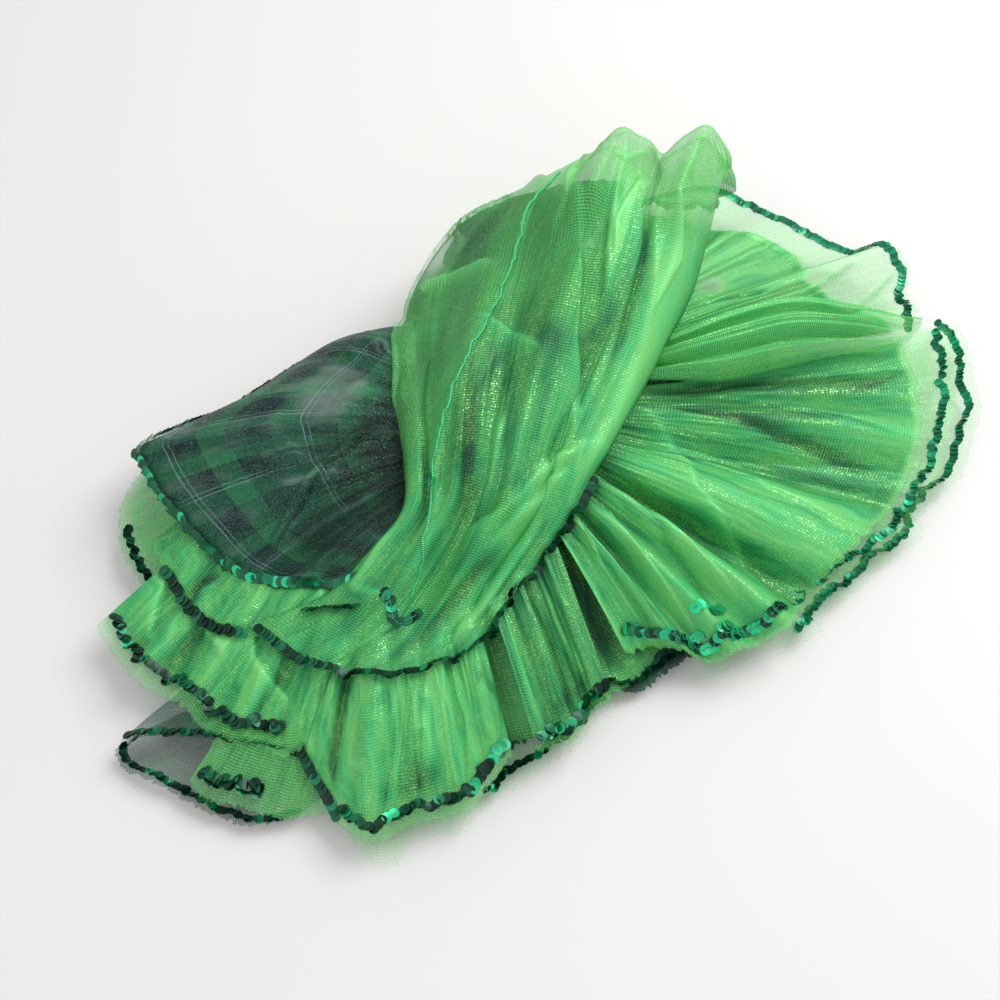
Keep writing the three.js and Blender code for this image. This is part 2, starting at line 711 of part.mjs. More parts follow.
/** True if the grid's faces, taken column by column, look up. */
function upwards(points) {
  const [a, b, c] = [points[0][0], points[1][0], points[1][1]];
  return (b[0] - a[0]) * (c[1] - a[1]) - (c[0] - a[0]) * (b[1] - a[1]) > 0;
}

function meshOf(name, look, geometry) {
  const mesh = new THREE.Mesh(geometry, new THREE.MeshStandardMaterial(look));
  mesh.name = name;
  return mesh;
}

/** Notes the lowest underside above each square of the map. */
function noteUnderside(points, walls, over) {
  for (const corners of gridTriangles(points.length - 1, points[0].length - 1)) {
    const at = corners.map(([i, j]) => points[i][j]);
    const bottom = corners.map(([i, j]) => points[i][j][2] - walls[i][j]);
    eachCell(...at, (cell, w) => {
      const height = w[0] * bottom[0] + w[1] * bottom[1] + w[2] * bottom[2];
      over[cell] = Math.min(over[cell], height);
    });
  }
}

/** The rounded solid under the cloth: rings of points from its middle out, sunk until they clear the cloth. */
function coreGeometry(over) {
  const { middle, rings, spokes, height, reaches } = core;
  const ceiling = spread(over, Math.min);
  const reach = [...column(reaches, "reach"), reaches[0].reach];
  const points = [];
  for (let s = 0; s < spokes; s++) {
    const bearing = (2 * Math.PI * s) / spokes;
    const far = readSmooth(reach, s / spokes);
    const line = [];
    for (let r = 1; r <= rings; r++) {
      const share = r / rings;
      const up = height * Math.sqrt(Math.max(0.02, 1 - share ** 4));
      line.push([
        middle[0] + far * share * Math.cos(bearing),
        middle[1] + far * share * Math.sin(bearing),
        up,
      ]);
    }
    points.push(line);
  }
  const peak = [middle[0], middle[1], height];
  const corner = (s, r) => (r === 0 ? peak : points[s % spokes][r - 1]);
  const triangles = [];
  for (let s = 0; s < spokes; s++) {
    triangles.push([[s, 0], [s, 1], [s + 1, 1]]);
    for (let r = 1; r < rings; r++)
      triangles.push([[s, r], [s, r + 1], [s + 1, r + 1]], [[s, r], [s + 1, r + 1], [s + 1, r]]);
  }
  for (let pass = 0; pass < SETTLE_PASSES; pass++) {
    const sink = new Map();
    for (const corners of triangles) {
      const at = corners.map(([s, r]) => corner(s, r));
      let over = 0;
      eachCell(...at, (cell, w) => {
        const surface = w[0] * at[0][2] + w[1] * at[1][2] + w[2] * at[2][2];
        over = Math.max(over, surface - (ceiling[cell] - AIR));
      });
      for (const point of at) sink.set(point, Math.max(sink.get(point) ?? 0, over));
    }
    for (const [point, by] of sink) point[2] = Math.max(LEAST_CORE, point[2] - by);
  }
  const flat = ([x, y]) => [x, y, 0];
  const all = [peak, ...points.flat()];
  const positions = [...all, ...all.map(flat)].flat();
  const id = (s, r) => (r === 0 ? 0 : 1 + (s % spokes) * rings + r - 1);
  const index = [];
  for (const corners of triangles) {
    const [a, b, c] = corners.map(([s, r]) => id(s, r));
    index.push(a, b, c, all.length + a, all.length + c, all.length + b);
  }
  for (let s = 0; s < spokes; s++) {
    const [a, b] = [id(s, rings), id(s + 1, rings)];
    index.push(all.length + a, all.length + b, b, all.length + a, b, a);
  }
  const geometry = new THREE.BufferGeometry();
  geometry.setAttribute("position", new THREE.Float32BufferAttribute(positions, 3));
  geometry.setIndex(index);
  return geometry;
}



// ---- the heap ----------------------------------------------------------------------------------

const heap = new THREE.Group();
const under = heightMap(0);
const over = heightMap(Infinity);
const stretches = new Map([
  ...flounces.map((flounce) => [flounce.name, { ...flounce, points: flouncePoints(flounce) }]),
  ...wraps.map((wrap) => [wrap.name, { ...wrap, points: wrapPoints(wrap) }]),
]);
for (const name of ORDER) {
  const { look, points } = stretches.get(name);
  const walls = layDown(points, under);
  noteUnderside(points, walls, over);
  const bottom = points.map((line, i) => line.map(([x, y, z], j) => [x, y, z - walls[i][j]]));
  heap.add(meshOf(name, look, closedSheet(points, bottom)));
}
heap.add(meshOf(core.name, HIDDEN, coreGeometry(over)));

export default heap;
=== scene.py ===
"""A tutu skirt of metallic organza, dropped in a soft heap on a pale surface.

Each stretch of cloth that shows is a thin sheet of its own, laid on the ones under it, lowest first:
flounces that fan out from their gathers, a rolled fold, and the wide wrap thrown over the top. Strings
of sequins are sewn near the raw edges. Sizes are in millimetres until a mesh is made.
"""

from __future__ import annotations

import logging
import math
import zlib
from dataclasses import dataclass, field
from enum import Enum
from typing import Any, Callable, Iterable, Sequence

import bpy
import numpy as np
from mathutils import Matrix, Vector

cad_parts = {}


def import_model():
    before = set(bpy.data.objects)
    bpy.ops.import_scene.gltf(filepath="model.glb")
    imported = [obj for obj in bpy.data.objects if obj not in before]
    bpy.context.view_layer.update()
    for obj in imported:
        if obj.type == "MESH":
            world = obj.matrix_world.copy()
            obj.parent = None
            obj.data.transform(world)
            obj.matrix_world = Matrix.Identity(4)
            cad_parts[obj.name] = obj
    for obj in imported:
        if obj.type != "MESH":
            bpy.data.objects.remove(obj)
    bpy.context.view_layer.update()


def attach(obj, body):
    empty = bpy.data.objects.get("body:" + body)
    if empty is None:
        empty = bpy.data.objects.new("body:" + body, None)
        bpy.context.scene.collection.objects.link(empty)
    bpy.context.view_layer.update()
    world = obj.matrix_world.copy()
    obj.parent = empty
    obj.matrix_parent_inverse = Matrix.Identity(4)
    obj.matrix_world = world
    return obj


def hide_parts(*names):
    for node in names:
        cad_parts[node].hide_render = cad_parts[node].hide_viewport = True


MM = 0.001
CLOTH = 0.3  # thickness of a sheet
AIR = 0.5  # clearance between one sheet and the next
HALF_WIDTH, HALF_DEPTH = 250, 225  # how far the height map reaches from the origin
SEQUIN = 5.6  # diameter of a 6 mm sequin once it is cupped
SEQUIN_LIFT = 0.9  # how far a flat sequin's middle lies above the cloth
SEQUIN_SUNK, SEQUIN_BACK = 0.22, 0.36  # how far its middle is sunk, on its upper and its lower face
RAW_EDGE = 7.0  # cloth left outside the string of sequins
EDGE_BAND = 0.1  # share of a sheet's length, next to its raw edge, in which insets are measured
SHORTEST = 30.0  # the least length that an inset is measured against
NOTCHES = 1.7  # notches in a raw edge for each fold
EDGE_POWER = 45  # keeps the notches to the last few millimetres of the cloth
CLOSED = 0.97  # cover from which a sheet is drawn with nothing showing through
# The brightness of a ridge is painted light, and the darkness of a valley painted shade.
RIDGE_SCALE = 9.0  # height over its surroundings at which a ridge is three quarters as bright as it can be
THREAD_STEP = 1.2  # distance between a thread's rings
SOFTENINGS = 3  # how often the lift of a laid sheet is evened out

log = logging.getLogger("tutu")


class Weave(Enum):
    """The cloths the skirt is cut from."""

    GREEN = "green_organza"
    TARTAN = "tartan_organza"


# ---- smooth tables ------------------------------------------------------------------------------


def read_smooth(values: Sequence[float], t: np.ndarray) -> np.ndarray:
    """Reads equally spaced rows at shares t, on a Catmull-Rom curve that passes through every row.

    Args:
        values: One number a row.
        t: Shares of the way from the first row to the last.

    Returns:
        The smooth value at each share.
    """
    rows = np.asarray(values, float)
    spans = len(rows) - 1
    span = np.minimum((t * spans).astype(int), spans - 1)
    f = t * spans - span
    padded = np.concatenate([[2 * rows[0] - rows[1]], rows, [2 * rows[-1] - rows[-2]]])
    a, b, c, d = (padded[span + k] for k in range(4))
    return 0.5 * (2 * b + f * (c - a + f * (2 * a - 5 * b + 4 * c - d + f * (3 * b - a - 3 * c + d))))


def soft_step(x: np.ndarray, low: float, high: float) -> np.ndarray:
    """0 below low and 1 above high, along the curve 3t² − 2t³ between them."""
    t = np.clip((x - low) / (high - low), 0, 1)
    return t * t * (3 - 2 * t)


def uneven(t: np.ndarray, seed: int, octaves: int = 4) -> np.ndarray:
    """A smooth wandering line, about −1 to 1: sines of rising pitch, each at a phase set by the seed.

    Args:
        t: Where to read it; it wanders about once a unit.
        seed: Picks the line.
        octaves: How many sines are added.

    Returns:
        The line's height at each t.
    """
    phases = np.random.default_rng(seed).uniform(0, 2 * math.pi, octaves)
    pitches = (1.0, 1.618, 2.71, 4.3, 6.9)[:octaves]
    waves = sum(np.sin(2 * math.pi * p * t + q) / p**0.7 for p, q in zip(pitches, phases))
    return waves / 2.0


def seed_of(name: str) -> int:
    """A number that is always the same for the same name."""
    return zlib.crc32(name.encode())


# ---- folds --------------------------------------------------------------------------------------


@dataclass(frozen=True)
class Crease:
    """A fold pressed into a sheet along a path of places, each a pair of shares (across, along).

    Attributes:
        path: The places it runs through.
        width: Its half width on its steep side, in millimetres.
        depth: Its height; below 0 it is a valley.
        light: How much painted highlight lies along it; below 0, how much painted shade.
        veil: How much more the cloth hides along it, where it lies double.
        slope: How many times wider it is on its other side, to the left of the path; below 0, the right.
    """

    path: tuple[tuple[float, float], ...]
    width: float
    depth: float
    light: float = 0.0
    veil: float = 0.0
    slope: float = 1.0

    def share(self, u: np.ndarray, v: np.ndarray, size: tuple[np.ndarray, float]) -> np.ndarray:
        """A bell curve of the distance from the path, steeper on one side, which fades at both ends.

        Args:
            u: Shares across the sheet.
            v: Shares along the sheet.
            size: The sheet's width at each point and its length.

        Returns:
            1 on the path, 0 far from it.
        """
        places = np.array(self.path)
        lengths = np.hypot(np.diff(places[:, 0]) * size[0].mean(), np.diff(places[:, 1]) * size[1])
        starts = np.r_[0, np.cumsum(lengths)]
        away, along, turn = np.full(u.shape, 1e9), np.zeros(u.shape), np.ones(u.shape)
        for (a, b), (c, d), start, length in zip(places, places[1:], starts, lengths):
            x, y = (u - a) * size[0], (v - b) * size[1]
            span_x, span_y = (c - a) * size[0], (d - b) * size[1]
            part = np.clip((x * span_x + y * span_y) / (span_x**2 + span_y**2), 0, 1)
            distance = np.hypot(x - part * span_x, y - part * span_y)
            nearer = distance < away
            turn = np.where(nearer, np.sign(span_x * y - span_y * x), turn)
            away = np.where(nearer, distance, away)
            along = np.where(nearer, (start + part * length) / starts[-1], along)
        fade = soft_step(along, 0.0, 0.22) * (1 - soft_step(along, 0.78, 1.0))
        easy = turn * np.sign(self.slope) > 0
        width = np.where(easy, self.width * abs(self.slope), self.width)
        power = np.where(easy & (abs(self.slope) > 1), 1.3, 2)
        return np.exp(-((away / width) ** power)) * (0.08 + 0.92 * fade)


@dataclass(frozen=True)
class Spot:
    """A soft patch of a sheet round a middle given as shares, for its cover or for its painted light and
    shade.
    """

    middle: tuple[float, float]
    reach: tuple[float, float]
    value: float

    def blend(self, u: np.ndarray, v: np.ndarray, values: np.ndarray) -> np.ndarray:
        """Moves values towards the spot's own, by a bell curve of the distance from its middle."""
        far = ((u - self.middle[0]) / self.reach[0]) ** 2 + ((v - self.middle[1]) / self.reach[1]) ** 2
        weight = np.exp(-(far**1.5))
        return values * (1 - weight) + self.value * weight


@dataclass(frozen=True)
class Gathers:
    """Fine pleats that leave a gathered edge and die away.

    Attributes:
        count: Pleats across the sheet.
        depth: Their height at the gather.
        left: Their height at the hem.
    """

    count: float
    depth: float
    left: float

    def height(self, u: np.ndarray, v: np.ndarray, seed: int) -> np.ndarray:
        """A wave of narrow crests across the sheet, its pitch and height wandering along it.

        Args:
            u: Shares across the sheet.
            v: Shares from the gather to the hem.
            seed: Makes the pleats uneven.

        Returns:
            The height the pleats add at each point.
        """
        turns = u * self.count + 0.9 * uneven(u * self.count / 6, seed) + 0.12 * uneven(v * 2, seed + 5)
        crest = 1 - 2 * np.abs(np.sin(math.pi * turns)) ** 0.8
        lively = 0.65 + 0.5 * uneven(u * self.count / 3, seed + 1) + 0.2 * uneven(v * 3 + u * 9, seed + 2)
        return crest * np.clip(lively, 0.05, 1.3) * (self.left + (self.depth - self.left) * (1 - v) ** 1.5)


# ---- sheets -------------------------------------------------------------------------------------


@dataclass
class Sheet:
    """One stretch of cloth as a grid of points: columns across it and rows along it, to its hem.

    Attributes:
        name: The piece's name.
        node: The solid it stands for.
        weave: What it is cut from.
        points: Columns x rows x 3, in millimetres.
        cover: How much it hides of what is under it, 0 to 1, at each point.
        tone: Its colour between deep (0) and bright (1), at each point, with painted light and shade in it.
        gathered: Whether its rows are gathered from one width, or lie flat at their own.
    """

    name: str
    node: str
    weave: Weave
    points: np.ndarray
    cover: np.ndarray
    tone: np.ndarray
    gathered: bool = True

    def cloth_places(self) -> tuple[np.ndarray, np.ndarray]:
        """Each point's place on the cloth: its length across, and its length up from the hem."""
        columns, rows = self.points.shape[:2]
        hem, length = self.lengths()
        u, v = np.meshgrid(np.linspace(0, 1, columns), np.linspace(0, 1, rows), indexing="ij")
        if self.gathered:
            return u * hem, (1 - v) * length
        steps = np.linalg.norm(np.diff(self.points, axis=0), axis=2)
        across = np.vstack([np.zeros((1, rows)), np.cumsum(steps, 0)])
        down = np.r_[0, np.cumsum(np.linalg.norm(np.diff(self.points[columns // 2], axis=0), axis=1))]
        return across - across[columns // 2], np.broadcast_to(length - down, (columns, rows))

    def widths(self) -> tuple[np.ndarray, float]:
        """Its width along each row, at each point, and its length, measured along the cloth."""
        rows = np.linalg.norm(np.diff(self.points, axis=0), axis=2).sum(0)
        return np.broadcast_to(rows, self.points.shape[:2]), self.lengths()[1]

    def lengths(self) -> tuple[float, float]:
        """The hem's length and the middle column's length, measured along the cloth."""
        hem = np.linalg.norm(np.diff(self.points[:, -1], axis=0), axis=1).sum()
        middle = self.points[len(self.points) // 2]
        return hem, np.linalg.norm(np.diff(middle, axis=0), axis=1).sum()

    def read(self, u: np.ndarray, v: np.ndarray, grid: np.ndarray | None = None) -> np.ndarray:
        """The grid's value at shares u across and v along, by weighing its four nearest points."""
        grid = self.points if grid is None else grid
        x = np.clip(u, 0, 1) * (grid.shape[0] - 1)
        y = np.clip(v, 0, 1) * (grid.shape[1] - 1)
        i = np.minimum(x.astype(int), grid.shape[0] - 2)
        j = np.minimum(y.astype(int), grid.shape[1] - 2)
        f, g = (x - i)[:, None], (y - j)[:, None]
        low = grid[i, j] * (1 - f) + grid[i + 1, j] * f
        high = grid[i, j + 1] * (1 - f) + grid[i + 1, j + 1] * f
        return low * (1 - g) + high * g

    def normals(self) -> np.ndarray:
        """The upward normal at each point, across the differences of its neighbours."""
        across, along = np.gradient(self.points, axis=0), np.gradient(self.points, axis=1)
        n = np.cross(across, along)
        n /= np.linalg.norm(n, axis=2, keepdims=True) + 1e-12
        return n * np.where(n[..., 2:] < 0, -1, 1)


@dataclass(frozen=True)
class Fold:
    """One fold of a flounce: its bearing in degrees, its reach, and the height of crown and hem."""

    bearing: float
    reach: float
    crown: float
    hem: float


@dataclass(frozen=True)
class Finish:
    """How a sheet is dressed: its cover, its pleats, its creases and its patches.

    Attributes:
        cover: How much it hides where nothing else is said.
        edge: How much it hides at its raw edge.
        edge_width: How far in from the edge the change goes.
        gathers: Its fine pleats.
        creases: Folds, given one by one.
        veils: Patches of other cover.
        lights: Patches of painted light and shade.
        relief: How strongly painted light on the ridges and painted shade in the valleys change its tone.
        tone: Its tone where nothing else is said, which also carries painted light and shade.
        lap: Places (across, along) up to which the cloth lies double; beyond them it is single.
        single: How much the single cloth hides.
        ragged: How uneven the raw edge is, in millimetres.
        streaks: How many streaks run along it, and how strongly they change its tone.
    """

    cover: float = 0.9
    edge: float = 0.4
    edge_width: float = 12.0
    gathers: Gathers = Gathers(40, 1.4, 0.4)
    creases: tuple[Crease, ...] = ()
    veils: tuple[Spot, ...] = ()
    lights: tuple[Spot, ...] = ()
    relief: float = 1.0
    tone: float = 0.5
    lap: tuple[tuple[float, float], ...] = ()
    single: float = 0.2
    ragged: float = 1.0
    streaks: tuple[float, float] = (9.0, 0.1)

    def dress(self, sheet: Sheet, u: np.ndarray, v: np.ndarray) -> None:
        """Works out the sheet's cover and tone from its place and its relief.

        The cover runs from the raw edge's to the sheet's own, is the single cloth's beyond the lap, and
        moves towards each veil's. The tone carries painted light and shade: it is brighter on ridges than
        in valleys, moves towards each light's, and is brighter where the cover is low, as painted light
        shining through thin cloth; it also varies in streaks. Creases add to both, painted highlight and
        shade to the tone.

        Args:
            sheet: The sheet, whose points are in place.
            u: Shares across, at each point.
            v: Shares along, at each point.
        """
        length = sheet.lengths()[1]
        towards = soft_step(1 - v, 0, self.edge_width / length)
        cover = self.edge + (self.cover - self.edge) * towards
        if self.lap:
            line = np.interp(u, [place[0] for place in self.lap], [place[1] for place in self.lap])
            beyond = soft_step((v - line) * length, -0.8, 0.8)
            rim = np.exp(-((((v - line) * length) / 1.6) ** 2))
            cover = cover * (1 - beyond) + np.minimum(cover, self.single) * beyond + 0.25 * rim
        for spot in self.veils:
            cover = spot.blend(u, v, cover)
        z = sheet.points[..., 2]
        # Painted light on the ridges and painted shade in the valleys.
        tone = self.tone + self.relief * (ridge_share(z, 0.035) * 0.35 + ridge_share(z, 0.1) * 0.3)
        seed = seed_of(sheet.name)
        drift = u * self.streaks[0] + 0.25 * uneven(v * 1.3 + u * 3, seed + 11, 3)
        fine = uneven(drift, seed + 12, 5) + 0.6 * uneven(drift * 4.7, seed + 13, 4)
        tone = tone + self.streaks[1] * fine * (1.2 - 0.6 * v)
        # Patches of painted light and shade.
        for spot in self.lights:
            tone = spot.blend(u, v, tone)
        # Each crease paints highlight along itself, painted shade where its light is below 0, and adds
        # cover where the cloth lies double.
        for crease in self.creases:
            bell = crease.share(u, v, sheet.widths())
            tone = tone + crease.light * bell
            cover = cover + crease.veil * bell
        sheet.cover = np.clip(cover, 0.02, 1)
        # Painted light shining through: brighter where the cover is low.
        sheet.tone = np.clip(tone + 0.6 * np.clip(0.8 - cover, 0, 1), 0, 1)


def ridge_share(z: np.ndarray, share: float) -> np.ndarray:
    """How far each point stands above the mean height of the columns round it, from −1 to 1.

    It is the hyperbolic tangent of that height over the ridge scale.

    Args:
        z: Heights, columns x rows.
        share: Half the width of the neighbourhood, as a share of the columns.

    Returns:
        Above 0 on a ridge and below 0 in a valley.
    """
    half = max(2, int(z.shape[0] * share))
    padded = np.pad(z, ((half, half), (0, 0)), mode="reflect")
    total = np.cumsum(np.vstack([np.zeros((1, z.shape[1])), padded]), axis=0)
    mean = (total[2 * half + 1 :] - total[: -2 * half - 1]) / (2 * half + 1)
    return np.tanh((z - mean) / RIDGE_SCALE)


@dataclass(frozen=True)
class Flounce:
    """Cloth gathered along a line, whose folds run out from it to the hem.

    Attributes:
        name: The solid that the flounce stands for, and the start of its piece's name.
        weave: What it is cut from.
        gather: The two ends of the gathered line.
        start: The share of its reach at which the cloth begins.
        folds: Its folds in order round it.
        grid: Points across and along.
        finish: How it is dressed.
        solid: Whether a solid of its name stands for it.
    """

    name: str
    weave: Weave
    gather: tuple[tuple[float, float, float], tuple[float, float, float]]
    start: float
    folds: tuple[Fold, ...]
    grid: tuple[int, int]
    finish: Finish = Finish()
    solid: bool = True

    def raw_edge(self, u: np.ndarray, v: np.ndarray) -> np.ndarray:
        """How much further than its fold's reach the cloth goes, because its edge is raw.

        It is a row of pointed notches, a few to each fold, with a finer wandering line on them, times the
        edge's raggedness and a high power of v.

        Args:
            u: Shares across, at each point.
            v: Shares along, at each point.

        Returns:
            Millimetres, at each point.
        """
        seed = seed_of(self.name)
        nick = np.abs(np.mod(u * (NOTCHES * len(self.folds)) + 0.3 * uneven(u * 9, seed + 7), 1) - 0.5)
        rag = (0.8 - 3.2 * nick) + uneven(u * 31, seed + 8)
        return self.finish.ragged * rag * v**EDGE_POWER

    def make(self) -> Sheet:
        """The flounce before it is laid on anything.

        A point lies at its share of the reach from the gather along its fold's bearing. Its height runs
        from the gather over the crown to the hem on a parabola, and pleats and creases are added.

        Returns:
            The sheet, with its cover and tone.
        """
        u, v = np.meshgrid(
            np.linspace(0, 1, self.grid[0]), np.linspace(self.start, 1, self.grid[1]), indexing="ij"
        )
        bearing = np.radians(read_smooth([f.bearing for f in self.folds], u))
        reach = read_smooth([f.reach for f in self.folds], u)
        crown = read_smooth([f.crown for f in self.folds], u)
        hem = read_smooth([f.hem for f in self.folds], u)
        reach = reach + self.raw_edge(u, v)
        root = np.array(self.gather[0]) * (1 - u[..., None]) + np.array(self.gather[1]) * u[..., None]
        middle = 2 * crown - 0.5 * (root[..., 2] + hem)
        z = (1 - v) ** 2 * root[..., 2] + 2 * v * (1 - v) * middle + v**2 * hem
        x, y = root[..., 0] + reach * v * np.cos(bearing), root[..., 1] + reach * v * np.sin(bearing)
        node = self.name if self.solid else ""
        sheet = Sheet(self.name + "_cloth", node, self.weave, np.stack([x, y, z], -1), u, u)
        size = sheet.widths()
        z = z + self.finish.gathers.height(u, v, seed_of(self.name))
        for crease in self.finish.creases:
            z = z + crease.depth * crease.share(u, v, size)
        sheet.points[..., 2] = z
        self.finish.dress(sheet, u, v)
        return sheet


@dataclass(frozen=True)
class Section:
    """One section of a wrap: its left and right points, the rise of its middle and how far it bows."""

    left: tuple[float, float, float]
    right: tuple[float, float, float]
    rise: float
    bow: float = 0.0


@dataclass(frozen=True)
class Ridge:
    """A fold that runs along a wrap, at a share of its width, between two shares of its length."""

    at: float
    width: float
    depth: float
    begin: float
    end: float

    def height(self, u: np.ndarray, v: np.ndarray) -> np.ndarray:
        """depth times a bell curve of the distance across, with soft ends a fifth of its length."""
        soft = 0.2 * (self.end - self.begin)
        rising = soft_step(v, self.begin, self.begin + soft) if self.begin > 0 else 1.0
        falling = 1 - soft_step(v, self.end - soft, self.end) if self.end < 1 else 1.0
        return self.depth * np.exp(-(((u - self.at) / self.width) ** 2)) * rising * falling


@dataclass(frozen=True)
class Wrap:
    """Cloth carried across a row of sections, from its foot behind the heap to its front.

    Attributes:
        name: The solid that the wrap stands for, and the start of its piece's name.
        weave: What it is cut from.
        fullness: The power of the arch; a lower one makes it boxier.
        sections: Its sections in order.
        ridges: Its large folds.
        grid: Points across and along.
        finish: How it is dressed.
        ripple: How far its foot behind the heap waves in and out, in millimetres.
    """

    name: str
    weave: Weave
    fullness: float
    sections: tuple[Section, ...]
    ridges: tuple[Ridge, ...]
    grid: tuple[int, int]
    finish: Finish = Finish()
    ripple: float = 0.0

    def make(self) -> Sheet:
        """The wrap before it is laid on anything.

        Across each section a point lies between its left and right ends, lifted by the rise times
        (4u(1 − u)) to the power of fullness, and pushed forward by the bow times 4u(1 − u). Ridges and
        pleats are added upwards, the foot behind the heap waves, and creases go out along the normals.

        Returns:
            The sheet, with its cover and tone.
        """
        u, v = np.meshgrid(np.linspace(0, 1, self.grid[0]), np.linspace(0, 1, self.grid[1]), indexing="ij")
        ends = [
            np.stack([read_smooth([getattr(s, side)[k] for s in self.sections], v) for k in range(3)], -1)
            for side in ("left", "right")
        ]
        points = ends[0] * (1 - u[..., None]) + ends[1] * u[..., None]
        parabola = 4 * u * (1 - u)
        points[..., 1] -= read_smooth([s.bow for s in self.sections], v) * parabola
        points[..., 2] += parabola**self.fullness * read_smooth([s.rise for s in self.sections], v)
        sheet = Sheet(self.name + "_cloth", self.name, self.weave, points, u, u, gathered=False)
        size = sheet.widths()
        for ridge in self.ridges:
            points[..., 2] += ridge.height(u, v)
        outward = sheet.normals()
        points[..., 2] += self.finish.gathers.height(u, np.full_like(v, 0.5), seed_of(self.name))
        foot, seed = 1 - soft_step(v, 0.03, 0.2), seed_of(self.name)
        points[..., 1] += self.ripple * foot * (uneven(u * 4.5 + v, seed + 3, 3) - 0.3 * parabola)
        points[..., 2] += self.ripple * foot * 0.5 * uneven(u * 3, seed + 4, 3)
        sway = self.ripple * (1 - soft_step(v, 0.1, 0.3)) * uneven(v * 9, seed + 5, 3)
        points[..., 0] += sway * (2 * u - 1) ** 5
        for crease in self.finish.creases:
            points += outward * (crease.depth * crease.share(u, v, size))[..., None]
        self.finish.dress(sheet, u, v)
        return sheet


# ---- the heap -----------------------------------------------------------------------------------


class Heap:
    """The heights of the cloth laid so far, on a map of millimetre squares."""

    def __init__(self) -> None:
        """Starts with the bare surface at height 0."""
        self.top = np.zeros((2 * HALF_WIDTH, 2 * HALF_DEPTH))
        self.ceiling = np.full_like(self.top, 1e3)

    @staticmethod
    def cells(points: np.ndarray) -> tuple[np.ndarray, np.ndarray]:
        """The row and column of the square under each point."""
        x = np.clip((points[..., 0] + HALF_WIDTH).astype(int), 0, 2 * HALF_WIDTH - 1)
        y = np.clip((points[..., 1] + HALF_DEPTH).astype(int), 0, 2 * HALF_DEPTH - 1)
        return x, y

    @staticmethod
    def spread(heights: np.ndarray, pick: Callable[..., np.ndarray]) -> np.ndarray:
        """Each square's highest or lowest neighbour, itself included."""
        wide = heights.copy()
        for dx in (-1, 0, 1):
            for dy in (-1, 0, 1):
                wide = pick(wide, np.roll(heights, (dx, dy), (0, 1)))
        return wide

    @staticmethod
    def finer(points: np.ndarray) -> np.ndarray:
        """The grid with two points more between each pair, both ways, on straight lines."""
        for axis in (0, 1):
            a = np.moveaxis(points, axis, 0)
            between = [a[:-1] * (1 - f) + a[1:] * f for f in (0, 1 / 3, 2 / 3)]
            woven = np.stack(between, 1).reshape(-1, *a.shape[1:])
            points = np.moveaxis(np.concatenate([woven, a[-1:]]), 0, axis)
        return points

    def lay(self, sheet: Sheet) -> Sheet:
        """Lifts a sheet off what lies under it, softly, and adds it to the heap.

        Args:
            sheet: The sheet in its own shape; its heights are changed.

        Returns:
            The same sheet.
        """
        support = self.spread(self.top, np.maximum)
        floor = support[self.cells(sheet.points)] + AIR + CLOTH
        lift = np.maximum(floor - sheet.points[..., 2], 0)
        for _ in range(SOFTENINGS):
            lift = np.pad(lift, 1, mode="edge")
            across = lift[1:-1, 1:-1] * 2 + lift[:-2, 1:-1] + lift[2:, 1:-1]
            lift = (across + lift[1:-1, :-2] + lift[1:-1, 2:]) / 6
        sheet.points[..., 2] = np.maximum(sheet.points[..., 2] + lift, floor)
        fine = self.finer(sheet.points)
        np.maximum.at(self.top, self.cells(fine), fine[..., 2])
        np.minimum.at(self.ceiling, self.cells(fine), fine[..., 2] - CLOTH)
        return sheet


# ---- materials ----------------------------------------------------------------------------------


class Value:
    """A number in a material, on which Python's own arithmetic adds Math nodes."""

    def __init__(self, bench: "Bench", socket: Any) -> None:
        """Wraps the socket of a node on the bench."""
        self.bench, self.socket = bench, socket

    def maths(self, operation: str, *others: "Value | float", clamp: bool = False) -> "Value":
        """The result of a Math node on this value and the others."""
        settings = {"operation": operation, "use_clamp": clamp}
        inputs = {0: self, **{k + 1: other for k, other in enumerate(others)}}
        return Value(self.bench, self.bench.add("ShaderNodeMath", settings, inputs).outputs[0])

    def __add__(self, other: "Value | float") -> "Value":
        """This value plus another."""
        return self.maths("ADD", other)

    __radd__ = __add__

    def __mul__(self, other: "Value | float") -> "Value":
        """This value times another."""
        return self.maths("MULTIPLY", other)

    __rmul__ = __mul__

    def __sub__(self, other: "Value | float") -> "Value":
        """This value less another."""
        return self.maths("SUBTRACT", other)

    def __rsub__(self, other: float) -> "Value":
        """A number less this value."""
        return self * -1.0 + other

    def __truediv__(self, other: "Value | float") -> "Value":
        """This value over another."""
        return self.maths("DIVIDE", other)

    def clamped(self) -> "Value":
        """This value, held between 0 and 1."""
        return self.maths("ADD", 0.0, clamp=True)

    def wave(self) -> "Value":
        """The sine of this value, in turns."""
        return (self * (2 * math.pi)).maths("SINE")

    def rising(self, low: float, high: float) -> "Value":
        """0 below low, 1 above high and a straight line between; low may be the higher one."""
        return ((self - low) / (high - low)).clamped()


